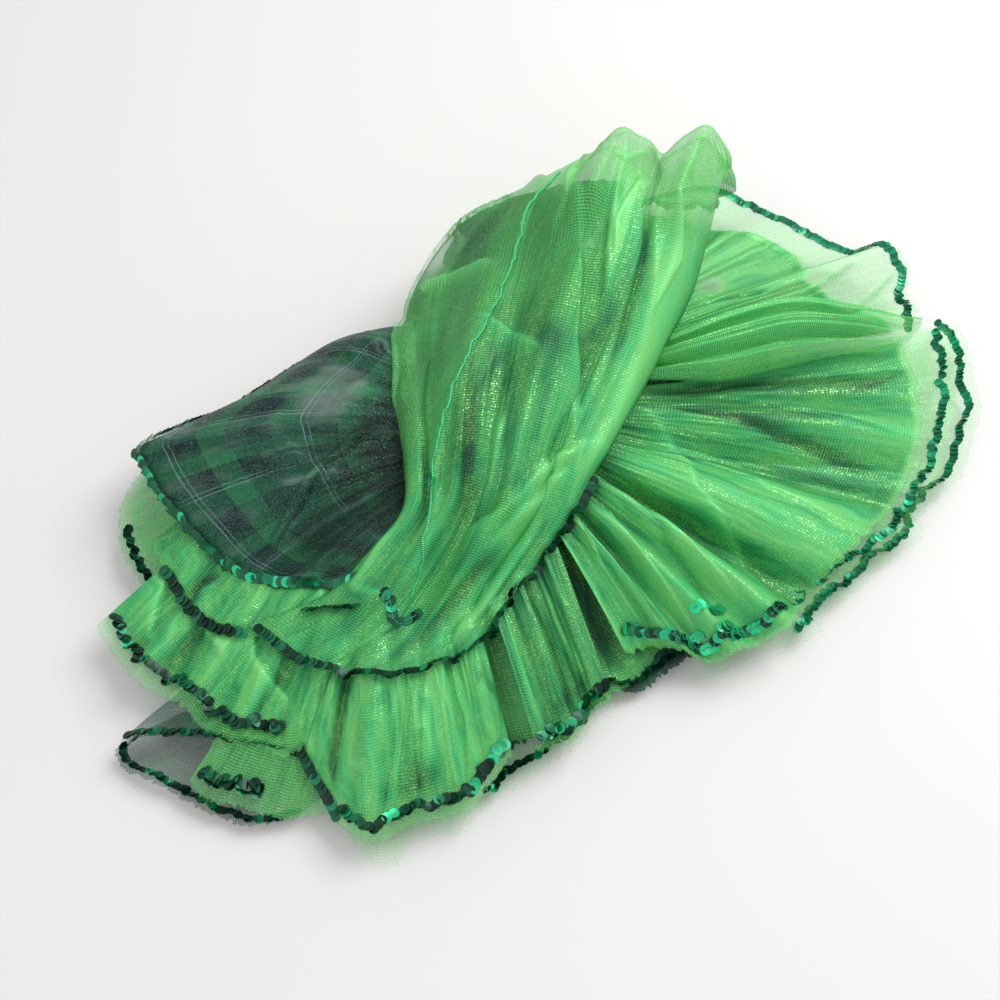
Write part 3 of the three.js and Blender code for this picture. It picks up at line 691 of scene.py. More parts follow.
class Bench:
    """The node tree of one material, and the ways its nodes are added."""

    def __init__(self, name: str) -> None:
        """Makes an empty material of that name."""
        self.material = bpy.data.materials.new(name)
        self.material.use_nodes = True
        self.tree = self.material.node_tree
        self.tree.nodes.clear()

    def add(
        self, kind: str, settings: dict[str, Any] | None = None, inputs: dict[int | str, Any] | None = None
    ) -> Any:
        """Adds a node.

        Args:
            kind: The node's type.
            settings: Its properties, set first; for a colour ramp, "stops" are its (place, colour) pairs
                and "interpolation" is how it goes from one to the next.
            inputs: Values, sockets or constants by socket index or name.

        Returns:
            The node.
        """
        node = self.tree.nodes.new(kind)
        for key, value in (settings or {}).items():
            if key == "stops":
                ramp = node.color_ramp
                while len(ramp.elements) > 1:
                    ramp.elements.remove(ramp.elements[-1])
                ramp.elements[0].position, ramp.elements[0].color = value[0]
                for place, colour in value[1:]:
                    ramp.elements.new(place).color = colour
            elif key == "interpolation":
                node.color_ramp.interpolation = value
            else:
                setattr(node, key, value)
        for key, value in (inputs or {}).items():
            if isinstance(value, Value):
                self.tree.links.new(value.socket, node.inputs[key])
            elif isinstance(value, bpy.types.NodeSocket):
                self.tree.links.new(value, node.inputs[key])
            else:
                node.inputs[key].default_value = value
        return node

    def attribute(self, name: str) -> Value:
        """A number kept at each point of the mesh."""
        node = self.add("ShaderNodeAttribute", {"attribute_name": name, "attribute_type": "GEOMETRY"})
        return Value(self, node.outputs["Fac"])

    def cloth_place(self) -> tuple[Any, Value, Value]:
        """The place on the cloth in metres, as a vector and as its two numbers."""
        vector = self.add("ShaderNodeUVMap", {"uv_map": "cloth"}).outputs[0]
        split = self.add("ShaderNodeSeparateXYZ", inputs={0: vector})
        return vector, Value(self, split.outputs[0]), Value(self, split.outputs[1])

    def stretched(self, vector: Any, by: tuple[float, float]) -> Any:
        """The vector, its first two numbers times those of by."""
        node = self.add("ShaderNodeVectorMath", {"operation": "MULTIPLY"}, {0: vector, 1: (*by, 1.0)})
        return node.outputs[0]

    def cells(self, vector: Any, size: float, stretch: tuple[float, float] = (1, 1)) -> tuple[Value, Value]:
        """Scattered spots: the distance to the nearest one over its size, and a random number each.

        Args:
            vector: Where to read them.
            size: The spots' pitch in metres.
            stretch: How much closer they lie along each direction.

        Returns:
            The distance and the random number.
        """
        inputs = {"Vector": self.stretched(vector, stretch), "Scale": 1 / size}
        node = self.add("ShaderNodeTexVoronoi", {"voronoi_dimensions": "2D"}, inputs)
        parts = self.add("ShaderNodeSeparateColor", inputs={0: node.outputs["Color"]})
        return Value(self, node.outputs["Distance"]), Value(self, parts.outputs[0])

    def noise(self, vector: Any, size: float, detail: float = 2.0) -> Value:
        """Cloudy noise, 0 to 1, whose clouds are about that many metres across."""
        inputs = {"Vector": vector, "Scale": 1 / size, "Detail": detail}
        return Value(self, self.add("ShaderNodeTexNoise", {"noise_dimensions": "2D"}, inputs).outputs[0])

    def blend(self, share: Value | float, one: Any, two: Any) -> Any:
        """The colour that is share of the way from one to two."""
        node = self.add("ShaderNodeMix", {"data_type": "RGBA"}, {0: share, 6: one, 7: two})
        return node.outputs[2]

    def ramp(self, place: Value, stops: Iterable[tuple[float, tuple]], steps: bool = False) -> Any:
        """The colour at a place of a row of stops, blended, or in flat steps."""
        settings = {"interpolation": "CONSTANT" if steps else "LINEAR", "stops": list(stops)}
        return self.add("ShaderNodeValToRGB", settings, {0: place}).outputs[0]

    def surface(self, **inputs: Any) -> bpy.types.Material:
        """Ends the material in one Principled shader with these inputs, named with _ for a space."""
        named = {key.replace("_", " "): value for key, value in inputs.items()}
        shader = self.add("ShaderNodeBsdfPrincipled", inputs=named)
        output = self.add("ShaderNodeOutputMaterial")
        self.tree.links.new(shader.outputs[0], output.inputs[0])
        return self.material


def rgb(red: float, green: float, blue: float) -> tuple[float, float, float, float]:
    """A colour given as it is seen, 0 to 255, as linear light."""
    seen = np.array([red, green, blue]) / 255
    linear = np.where(seen <= 0.04045, seen / 12.92, ((seen + 0.055) / 1.055) ** 2.4)
    return (*map(float, linear), 1.0)


@dataclass(frozen=True)
class GreenOrganza:
    """Metallic green organza: fine ribs, painted glints on them in patches, painted shade in its deep folds
    and painted light on its ridges.

    Attributes:
        rib: The pitch of its ribs, in metres.
        warp: The pitch of the threads across them, in metres.
        glint: The pitch of its glints, in metres.
        deep: Its colour in the deepest folds, painted shade.
        low: Its colour in the shallower folds, lighter painted shade.
        middle: Its colour where it lies even.
        bright: Its colour on the ridges, painted light.
        glitter_sheen: The painted sheen that its ribs lean to in glittery patches.
        spark: The colour of a glint: a glitter speck painted bright.
        sheer: What it leans to where it is see-through, painted light shining through it.
    """

    rib: float = 0.00135
    warp: float = 0.0019
    glint: float = 0.00105
    deep: tuple = rgb(8, 44, 26)
    low: tuple = rgb(26, 106, 62)
    middle: tuple = rgb(62, 178, 104)
    bright: tuple = rgb(134, 232, 138)
    glitter_sheen: tuple = rgb(92, 156, 68)
    spark: tuple = rgb(176, 238, 130)
    sheer: tuple = rgb(124, 244, 132)

    def make(self) -> bpy.types.Material:
        """Ribs run parallel to the hem; painted glints are dashes on them; cover and tone, with painted
        light and shade in it, come from the sheet.
        """
        b = Bench("green_organza")
        place, across, along = b.cloth_place()
        cloud = b.noise(b.stretched(place, (1.25, 0.5)), 0.014, 3.0)
        rib = (along / self.rib).wave() * 0.36 + (across / self.warp).wave() * 0.14 + 0.5
        # Painted glints: glitter specks painted bright as if they catch the light, most of them in cloudy
        # patches.
        distance, chance = b.cells(place, self.glint, (0.75, 1.3))
        patch = cloud.rising(0.38, 0.6)
        glint = distance.rising(0.42, 0.2) * chance.rising(0.5, 0.8) * (patch * 0.8 + 0.2)
        tone = (b.attribute("tone") + (cloud - 0.5) * 0.36 + (rib - 0.5) * 0.22).clamped()
        # From painted shade in the deep folds to painted light on the ridges.
        base = b.ramp(tone, [(0, self.deep), (0.28, self.low), (0.58, self.middle), (1, self.bright)])
        # Painted sheen: in those patches the ribs lean to the glitter's sheen colour.
        with_sheen = b.blend(patch * rib * 0.58, base, self.glitter_sheen)
        cover = b.attribute("cover")
        # Painted light shining through where the cloth is thin.
        lit_through = b.blend((1 - cover) * 0.7, with_sheen, self.sheer)
        colour = b.blend(glint * 0.6, lit_through, self.spark)
        alpha = (cover * (1 + (1 - cover) * (rib - 0.5) * 1.7) + glint * 0.25 * cover).clamped()
        bump = b.add("ShaderNodeBump", inputs={"Strength": 0.28, "Distance": 0.0004, "Height": rib})
        return b.surface(
            Base_Color=colour,
            Alpha=alpha,
            Roughness=(0.5 - glint * 0.25),
            Metallic=(glint * 0.5 + 0.12),
            Normal=bump.outputs[0],
            Specular_IOR_Level=0.35,
        )


@dataclass(frozen=True)
class TartanOrganza:
    """Sheer dark tartan: navy and green checks with pale double lines, flecked with silver.

    Attributes:
        sett: The stripes of one repeat, as (width in millimetres, colour).
        twill: The pitch of its weave, in metres.
        glitter: The pitch of its flecks, in metres.
        fleck: The colour of a fleck: silver glitter, painted bright as a glint.
        faded: What patches of the checks fade to.
        shadow: Its colour in the deepest folds.
        ridge_sheen: The painted sheen it leans to on the ridges.
    """

    sett: tuple = (
        (15.0, rgb(26, 96, 64)),
        (1.0, rgb(142, 170, 168)),
        (2.0, rgb(18, 46, 52)),
        (0.9, rgb(108, 140, 140)),
        (12.0, rgb(12, 30, 40)),
        (2.0, rgb(4, 10, 14)),
        (14.0, rgb(36, 116, 72)),
        (0.9, rgb(54, 112, 92)),
        (9.0, rgb(14, 58, 44)),
        (2.0, rgb(6, 12, 22)),
        (11.0, rgb(14, 36, 48)),
    )
    twill: float = 0.0012
    glitter: float = 0.001
    fleck: tuple = rgb(112, 190, 150)
    faded: tuple = rgb(22, 66, 54)
    shadow: tuple = rgb(4, 12, 12)
    ridge_sheen: tuple = rgb(160, 178, 168)

    def stripes(self, b: Bench, place: Value) -> Any:
        """The stripe at a place along one direction: flat steps of the sett, repeated."""
        repeat = sum(width for width, _ in self.sett)
        starts = np.cumsum([0.0] + [width for width, _ in self.sett[:-1]]) / repeat
        share = (place / (repeat * MM)).maths("FRACT")
        return b.ramp(share, [(float(s), colour) for s, (_, colour) in zip(starts, self.sett)], steps=True)

    def make(self) -> bpy.types.Material:
        """Warp and weft stripes in a fine twill, over a faint slanted layer, with painted shade in the
        folds and painted sheen on the ridges.
        """
        b = Bench("tartan_organza")
        place, across, along = b.cloth_place()
        cloud = b.noise(place, 0.022, 4.0)
        twill = ((across + along) / self.twill).wave() * 0.5 + 0.5
        plaid = b.blend(twill * 0.4 + 0.3, self.stripes(b, across), self.stripes(b, along))
        slanted = self.stripes(b, across * 0.9 + along * 0.35), self.stripes(b, along - across * 0.3)
        plaid = b.blend(0.18, plaid, b.blend(0.5, *slanted))
        plaid = b.blend(b.noise(place, 0.045, 2.0).rising(0.46, 0.62) * 0.62, plaid, self.faded)
        # Silver flecks: real glitter, painted brighter as glints.
        distance, chance = b.cells(place, self.glitter, (1.4, 0.8))
        fleck = distance.rising(0.38, 0.18) * chance.rising(0.5, 0.85)
        tone = (b.attribute("tone") + (cloud - 0.5) * 0.6).clamped()
        shaded = b.blend(tone.rising(0.0, 0.5), self.shadow, plaid)
        # Painted sheen on the ridges, where the tone is high.
        with_ridge_sheen = b.blend(tone.rising(0.55, 1.0) * 0.42, shaded, self.ridge_sheen)
        colour = b.blend(fleck * 0.5, with_ridge_sheen, self.fleck)
        cover = b.attribute("cover")
        alpha = (cover * (1 + (1 - cover) * (twill - 0.5)) + (1 - cover) * fleck * 0.3).clamped()
        bump = b.add("ShaderNodeBump", inputs={"Strength": 0.3, "Distance": 0.0004, "Height": twill})
        return b.surface(
            Base_Color=colour,
            Alpha=alpha,
            Roughness=(0.6 - fleck * 0.3),
            Metallic=(0.05 + fleck * 0.6),
            Normal=bump.outputs[0],
            Specular_IOR_Level=0.3,
        )


@dataclass(frozen=True)
class SequinFoil:
    """Green foil, painted near black where it turns away and painted glassy bright where it catches the
    light.
    """

    dark: tuple = rgb(5, 48, 33)
    bright: tuple = rgb(40, 222, 150)

    def make(self) -> bpy.types.Material:
        """The colour of each sequin, a painted reflection from dark to bright, comes from the number kept
        on it.
        """
        b = Bench("sequin_foil")
        shine = b.attribute("tone")
        colour = b.blend(shine, self.dark, self.bright)
        return b.surface(
            Base_Color=colour,
            Roughness=(0.42 - shine * 0.15),
            Metallic=0.6,
            Coat_Weight=0.2,
            Coat_Roughness=0.15,
        )


@dataclass(frozen=True)
class SewingThread:
    """A twisted metallic thread, whose strands are a twist apart along it, in metres."""

    name: str
    colour: tuple
    dark: tuple
    twist: float = 0.0009

    def make(self) -> bpy.types.Material:
        """Light and dark strands that turn round the thread."""
        b = Bench(self.name)
        _, across, along = b.cloth_place()
        strand = (along / self.twist + across).wave() * 0.5 + 0.5
        colour = b.blend(strand, self.dark, self.colour)
        bump = b.add("ShaderNodeBump", inputs={"Strength": 0.5, "Distance": 0.0002, "Height": strand})
        return b.surface(
            Base_Color=colour,
            Roughness=(0.45 - strand * 0.15),
            Metallic=0.4,
            Normal=bump.outputs[0],
        )


@dataclass(frozen=True)
class PaleTable:
    """The plain pale surface the skirt lies on."""

    colour: tuple = rgb(229, 228, 226)
    mottle: tuple = rgb(223, 222, 221)

    def make(self) -> bpy.types.Material:
        """A faint mottle under an even, matt colour."""
        b = Bench("pale_table")
        place = b.add("ShaderNodeTexCoord").outputs["Object"]
        colour = b.blend(b.noise(place, 0.2) * 0.3, self.colour, self.mottle)
        return b.surface(Base_Color=colour, Roughness=0.6)


class Wardrobe:
    """The finished materials, one of each."""

    def __init__(self) -> None:
        """Makes every material."""
        self.cloths = {Weave.GREEN: GreenOrganza().make(), Weave.TARTAN: TartanOrganza().make()}
        self.foil = SequinFoil().make()
        self.silver = SewingThread("silver_thread", rgb(120, 190, 165), rgb(30, 90, 70)).make()
        self.teal = SewingThread("teal_thread", rgb(96, 232, 150), rgb(16, 128, 84)).make()
        self.table = PaleTable().make()


# ---- meshes -------------------------------------------------------------------------------------


def piece_from(
    name: str,
    points: np.ndarray,
    faces: np.ndarray,
    material: bpy.types.Material,
    numbers: dict[str, np.ndarray] | None = None,
    places: np.ndarray | None = None,
    flat: bool = False,
) -> bpy.types.Object:
    """Makes a mesh piece in its place.

    Args:
        name: The piece's name.
        points: N x 3 points, in millimetres.
        faces: M x 3 or M x 4 corner numbers.
        material: Its material.
        numbers: Numbers kept at each point, by name.
        places: N x 2 places on the cloth, in millimetres.
        flat: Whether its faces are shaded flat, not smooth.

    Returns:
        The piece.
    """
    mesh = bpy.data.meshes.new(name)
    corners = faces.shape[1]
    mesh.vertices.add(len(points))
    mesh.vertices.foreach_set("co", (points * MM).astype(np.float32).ravel())
    mesh.loops.add(faces.size)
    mesh.loops.foreach_set("vertex_index", faces.astype(np.int32).ravel())
    mesh.polygons.add(len(faces))
    mesh.polygons.foreach_set("loop_start", np.arange(0, faces.size, corners, dtype=np.int32))
    mesh.polygons.foreach_set("use_smooth", np.full(len(faces), not flat))
    if places is not None:
        layer = mesh.uv_layers.new(name="cloth")
        layer.data.foreach_set("uv", (places[faces.ravel()] * MM).astype(np.float32).ravel())
    for key, values in (numbers or {}).items():
        kept = mesh.attributes.new(key, "FLOAT", "POINT")
        kept.data.foreach_set("value", values.astype(np.float32).ravel())
    mesh.update(calc_edges=True)
    mesh.validate()
    mesh.materials.append(material)
    piece = bpy.data.objects.new(name, mesh)
    bpy.context.scene.collection.objects.link(piece)
    return piece


def grid_faces(columns: int, rows: int, around: bool = False) -> np.ndarray:
    """The four corners of each face of a grid; around also joins its last row to its first."""
    i, j = np.meshgrid(np.arange(columns - 1), np.arange(rows if around else rows - 1), indexing="ij")
    after = (j + 1) % rows
    corners = i * rows + j, (i + 1) * rows + j, (i + 1) * rows + after, i * rows + after
    return np.stack(corners, -1).reshape(-1, 4)


def sheet_piece(sheet: Sheet, wardrobe: Wardrobe) -> bpy.types.Object:
    """Makes a sheet's thin shell and stands it for its solid.

    Its places on the cloth stray a little along it, so that the ribs wander as woven ones do. The cover is
    shared between the shell's two faces: each hides 1 − √(1 − cover) of what is behind it.

    Args:
        sheet: The sheet as it lies.
        wardrobe: The materials.

    Returns:
        The piece.
    """
    columns, rows = sheet.points.shape[:2]
    u, v = np.meshgrid(np.linspace(0, 1, columns), np.linspace(0, 1, rows), indexing="ij")
    stray = 1.1 * uneven(u * 1.6 + v * 0.5, seed_of(sheet.name), 3)
    across, along = sheet.cloth_places()
    places = np.stack([across, along + stray], -1).reshape(-1, 2)
    faces = grid_faces(columns, rows)
    a, b, c = (sheet.points.reshape(-1, 3)[faces[0, k]] for k in range(3))
    if np.cross(b - a, c - a)[2] < 0:
        faces = faces[:, ::-1]
    one_face = 1 - np.sqrt(1 - sheet.cover)
    numbers = {"cover": np.where(sheet.cover > CLOSED, 1.0, one_face), "tone": sheet.tone}
    cloth = wardrobe.cloths[sheet.weave]
    piece = piece_from(sheet.name, sheet.points.reshape(-1, 3), faces, cloth, numbers, places)
    shell = piece.modifiers.new("thickness", "SOLIDIFY")
    shell.thickness, shell.offset = CLOTH * MM, -1.0
    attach(piece, "root")
    if sheet.node:
        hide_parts(sheet.node)
    return piece


# ---- trims --------------------------------------------------------------------------------------


@dataclass
class Line:
    """A line on the cloth: its points, and the cloth's normal at each."""

    points: np.ndarray
    normals: np.ndarray

    def evenly(self, step: float) -> "Line":
        """The same line with its points a step apart."""
        lengths = np.r_[0, np.cumsum(np.linalg.norm(np.diff(self.points, axis=0), axis=1))]
        at = np.arange(0, lengths[-1], step)
        mixed = [
            np.stack([np.interp(at, lengths, rows[:, k]) for k in range(3)], -1)
            for rows in (self.points, self.normals)
        ]
        mixed[1] /= np.linalg.norm(mixed[1], axis=1, keepdims=True)
        return Line(*mixed)

    def frame(self) -> tuple[np.ndarray, np.ndarray, np.ndarray]:
        """The direction along the line, the one across it on the cloth, and the normal, at each point."""
        along = np.gradient(self.points, axis=0)
        along -= (along * self.normals).sum(1, keepdims=True) * self.normals
        along /= np.linalg.norm(along, axis=1, keepdims=True) + 1e-12
        return along, np.cross(self.normals, along), self.normals


def hem_line(sheet: Sheet, begin: float, end: float, inset: float = RAW_EDGE, count: int = 400) -> Line:
    """The line that lies an inset in from a sheet's raw edge.

    Args:
        sheet: The sheet as it lies.
        begin: The share across it where the line begins.
        end: The share where it ends.
        inset: The cloth left outside the line.
        count: Points read.

    Returns:
        The line.
    """
    u = np.linspace(begin, end, count)
    edge = sheet.read(u, np.full(count, 1.0))
    inner = sheet.read(u, np.full(count, 1 - EDGE_BAND))
    span = np.linalg.norm(edge - inner, axis=1) / EDGE_BAND
    v = 1 - inset / np.maximum(span, SHORTEST) * (1 + 0.2 * uneven(u * 9, seed_of(sheet.name)))
    normals = sheet.read(u, v, sheet.normals())
    return Line(sheet.read(u, v), normals / np.linalg.norm(normals, axis=1, keepdims=True))


def sewn_line(sheet: Sheet, way: Sequence[tuple[float, float]], count: int = 300) -> Line:
    """A line sewn to a sheet, smooth through places given as shares across and along it.

    Args:
        sheet: The sheet as it lies.
        way: The places, about equally far apart.
        count: Points read.

    Returns:
        The line.
    """
    t = np.linspace(0, 1, count)
    u, v = (np.clip(read_smooth([place[k] for place in way], t), 0, 1) for k in range(2))
    normals = sheet.read(u, v, sheet.normals())
    return Line(sheet.read(u, v), normals / np.linalg.norm(normals, axis=1, keepdims=True))


@dataclass(frozen=True)
class SequinString:
    """Overlapping sequins sewn down by a thread along their middles.

    Attributes:
        name: The string's name.
        shine: How many of the sequins are painted bright, as if they catch the light, 0 to 1.
        lean: How far they lean over to one side at its two ends, in degrees.
        size: How much of a sequin shows across the string, as its diameter; the rest is tucked under.
        neat: How even the string is, from 0, loose, to 1, straight.
        thread: Whether the thread shows on it.
        shade: How much painted light lifts the duller sequins from dark, 0 to 1.
        facets: Edges of a sequin's outline.
        tilt: How steeply each lies on the last one, in degrees.
    """

    name: str
    shine: float = 0.15
    lean: tuple[float, float] = (0.0, 0.0)
    size: float = SEQUIN
    neat: float = 0.4
    thread: bool = True
    shade: float = 0.0
    facets: int = 12
    tilt: float = 9.0

    def sequins(self, line: Line, wardrobe: Wardrobe) -> bpy.types.Object:
        """Sets a sequin at each step, tilted onto the last one.

        A sequin is a thin closed cup: a rim of facets round a middle that is sunk a little, once for its
        upper face and a little deeper for its lower face.

        Args:
            line: Where the string runs.
            wardrobe: The materials.

        Returns:
            The piece.
        """
        even = line.evenly(self.size / 2)
        along, across, up = even.frame()
        count = len(even.points)
        chance = np.random.default_rng(seed_of(self.name))
        loose = 1.4 * (1 - self.neat)
        tilt = np.radians(self.tilt + chance.normal(0, 2.5 * loose, count))[:, None]
        lean = np.linspace(*self.lean, count) + chance.normal(0, 4 * loose, count)
        roll = np.radians(lean)[:, None]
        side = across * np.cos(roll) + up * np.sin(roll)
        out = up * np.cos(roll) - across * np.sin(roll)
        face = along * np.cos(tilt) + out * np.sin(tilt)
        normal = np.cross(face, side)
        normal /= np.linalg.norm(normal, axis=1, keepdims=True)
        angles = np.linspace(0, 2 * math.pi, self.facets, endpoint=False)
        raised = SEQUIN_LIFT + 0.3 * self.size * np.abs(np.sin(roll))
        middle = even.points + up * raised + across * chance.normal(0, 0.16 * loose, count)[:, None]
        cosine, sine = np.cos(angles)[None, :, None], np.sin(angles)[None, :, None]
        rim = middle[:, None] + (face[:, None] * cosine + side[:, None] * sine) * (self.size / 2)
        centres = [(middle - normal * depth)[:, None] for depth in (SEQUIN_SUNK, SEQUIN_BACK)]
        points = np.concatenate([rim, *centres], 1)
        k = np.arange(self.facets)
        after = (k + 1) % self.facets
        top = np.stack([k, after, np.full(self.facets, self.facets)], -1)
        bottom = np.stack([after, k, np.full(self.facets, self.facets + 1)], -1)
        one = np.concatenate([top, bottom])
        faces = (one[None] + (np.arange(count) * (self.facets + 2))[:, None, None]).reshape(-1, 3)
        # Painted reflections: a share of the sequins are painted bright as if they catch the light, the
        # others near dark, lifted a little by painted light.
        catches = chance.random(count) < self.shine
        bright = chance.uniform(0.5, 1, count)
        dull = chance.random(count) ** 3 * 0.3 + self.shade
        numbers = {"tone": np.repeat(np.where(catches, bright, dull), self.facets + 2)}
        piece = piece_from(self.name, points.reshape(-1, 3), faces, wardrobe.foil, numbers, flat=True)
        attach(piece, "root")
        return piece

    def sew(self, line: Line, wardrobe: Wardrobe) -> list[bpy.types.Object]:
        """Makes the string's sequins, and the thread on it where it shows, and returns its pieces."""
        sequins = self.sequins(line, wardrobe)
        if not self.thread:
            return [sequins]
        flat = max(map(abs, self.lean)) < 20
        thread = Thread(self.name + "_thread", radius=0.2, lift=1.2 if flat else 0.5, wander=0.2)
        return [sequins, thread.sew(line, wardrobe.silver)]


@dataclass(frozen=True)
class Thread:
    """A round thread carried along a line on the cloth.

    Attributes:
        name: The thread's name.
        radius: Half its thickness.
        lift: How far its middle lies above the cloth.
        wander: How far it strays to each side.
        sides: The sides of its ring.
    """

    name: str
    radius: float
    lift: float
    wander: float
    sides: int = 6

    def sew(self, line: Line, material: bpy.types.Material) -> bpy.types.Object:
        """Carries a ring of the radius along the line, and closes both ends almost to a point.

        Args:
            line: Where the thread runs.
            material: Its material.

        Returns:
            The piece.
        """
        even = line.evenly(THREAD_STEP)
        _, across, up = even.frame()
        count = len(even.points)
        stray = uneven(np.arange(count) / 17, seed_of(self.name))[:, None] * self.wander
        middle = even.points + up * self.lift + across * stray
        angles = np.linspace(0, 2 * math.pi, self.sides, endpoint=False)
        width = np.full(count, self.radius)
        width[[0, -1]] = self.radius * 0.05
        ring = across[:, None] * np.cos(angles)[None, :, None] + up[:, None] * np.sin(angles)[None, :, None]
        points = middle[:, None] + ring * width[:, None, None]
        faces = grid_faces(count, self.sides, around=True)
        ends = np.array([[0, 1, 2, 3], [0, 3, 4, 5]])
        last = (count - 1) * self.sides
        faces = np.concatenate([faces, ends[:, ::-1], last + ends])[:, ::-1]
        down = np.repeat(np.arange(count) * THREAD_STEP, self.sides)
        places = np.stack([np.tile(angles, count), down], -1)
        piece = piece_from(self.name, points.reshape(-1, 3), faces, material, places=places)
        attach(piece, "root")
        return piece


# ---- the sub-assemblies -------------------------------------------------------------------------


def flounce(
    name: str,
    weave: Weave,
    gather: tuple,
    start: float,
    rows: Sequence[tuple],
    grid: tuple[int, int],
    finish: Finish,
    solid: bool = True,
) -> Flounce:
    """A flounce from a table with a row (bearing, reach, crown, hem) for each fold."""
    return Flounce(name, weave, gather, start, tuple(Fold(*row) for row in rows), grid, finish, solid)


@dataclass
class Assembly:
    """A group of sheets that are laid together, with the trims sewn to them."""

    heap: Heap
    wardrobe: Wardrobe
    pieces: list[bpy.types.Object] = field(default_factory=list)

    def lay(self, cloth: Flounce | Wrap) -> Sheet:
        """Lays a flounce or wrap on the heap and keeps its sheet."""
        sheet = self.heap.lay(cloth.make())
        self.pieces.append(sheet_piece(sheet, self.wardrobe))
        return sheet

    def trim(self, string: SequinString, line: Line) -> None:
        """Sews a string of sequins along a line."""
        self.pieces += string.sew(line, self.wardrobe)

    def edge(self, sheet: Sheet, span: tuple[float, float], inset: float, name: str, **look: Any) -> None:
        """Sews a string of sequins along a sheet's raw edge.

        Args:
            sheet: The sheet as it lies.
            span: The shares across it where the string begins and ends.
            inset: The cloth left outside the string.
            name: The string's name.
            look: The string's other fields, where they differ from the plain ones.
        """
        self.trim(SequinString(name, **look), hem_line(sheet, *span, inset))


@dataclass
class Corner(Assembly):
    """The tartan corner at the front left, and the small green flap on it."""

    lower: Flounce = flounce(
        "corner_tartan_lower", Weave.TARTAN, ((-150, -103, 8), (-88, -138, 8)), 0,
        [(-151, 66, 8, 9), (-155, 78, 7, 5), (-153, 82, 6, 4), (-150, 78, 7, 6), (-147, 75, 6, 4),
         (-143, 73, 7, 6), (-139, 69, 6, 4), (-136, 65, 7, 5), (-136, 56, 6, 4), (-139, 51, 7, 5)],
        (100, 50),
        Finish(cover=0.52, edge=0.5, gathers=Gathers(14, 0.8, 0.6), tone=0.6, relief=0.6),
    )
    upper: Flounce = flounce(
        "corner_tartan_upper", Weave.TARTAN, ((-152, -88, 20), (-98, -112, 20)), 0,
        [(-139, 76, 19, 14), (-142, 72, 19, 15), (-142, 66, 20, 16), (-141, 60, 20, 17),
         (-139, 55, 20, 17), (-135, 49, 20, 17), (-128, 45, 19, 16)],
        (80, 44),
        Finish(
            cover=0.66, edge=0.5, gathers=Gathers(10, 0.8, 0.6), tone=0.5, relief=0.5,
            # A patch of painted shade.
            lights=(Spot((0.75, 0.4), (0.4, 0.5), 0.4),), veils=(Spot((0.8, 0.4), (0.35, 0.5), 0.8),),
        ),
    )
    flap: Flounce = flounce(
        "corner_flap", Weave.GREEN, ((-150, -116, 22), (-100, -126, 22)), 0,
        [(-123, 49, 18, 11), (-121, 54, 17, 8), (-118, 54, 18, 11), (-113, 53, 17, 8),
         (-107, 53, 17, 9), (-104, 49, 17, 8), (-103, 46, 18, 9)],
        (90, 44),
        Finish(cover=0.6, edge=0.4, gathers=Gathers(16, 1.4, 0.8), tone=0.42),
    )

    def build(self) -> None:
        """Lays the two corner sheets and the flap, with their sequins."""
        lower = self.lay(self.lower)
        self.edge(
            lower, (0.02, 0.98), 4, "corner_lower_sequins",
            shine=0.02, lean=(-42, -36), size=4.8, neat=0.8,
        )
        upper = self.lay(self.upper)
        self.edge(
            upper, (0.02, 0.98), 3, "corner_upper_sequins",
            shine=0.02, lean=(-36, -36), size=4.8, neat=0.8,
        )
        flap = self.lay(self.flap)
        self.edge(flap, (0.06, 0.5), 10, "corner_flap_sequins", shine=0.02, lean=(-40, -30))


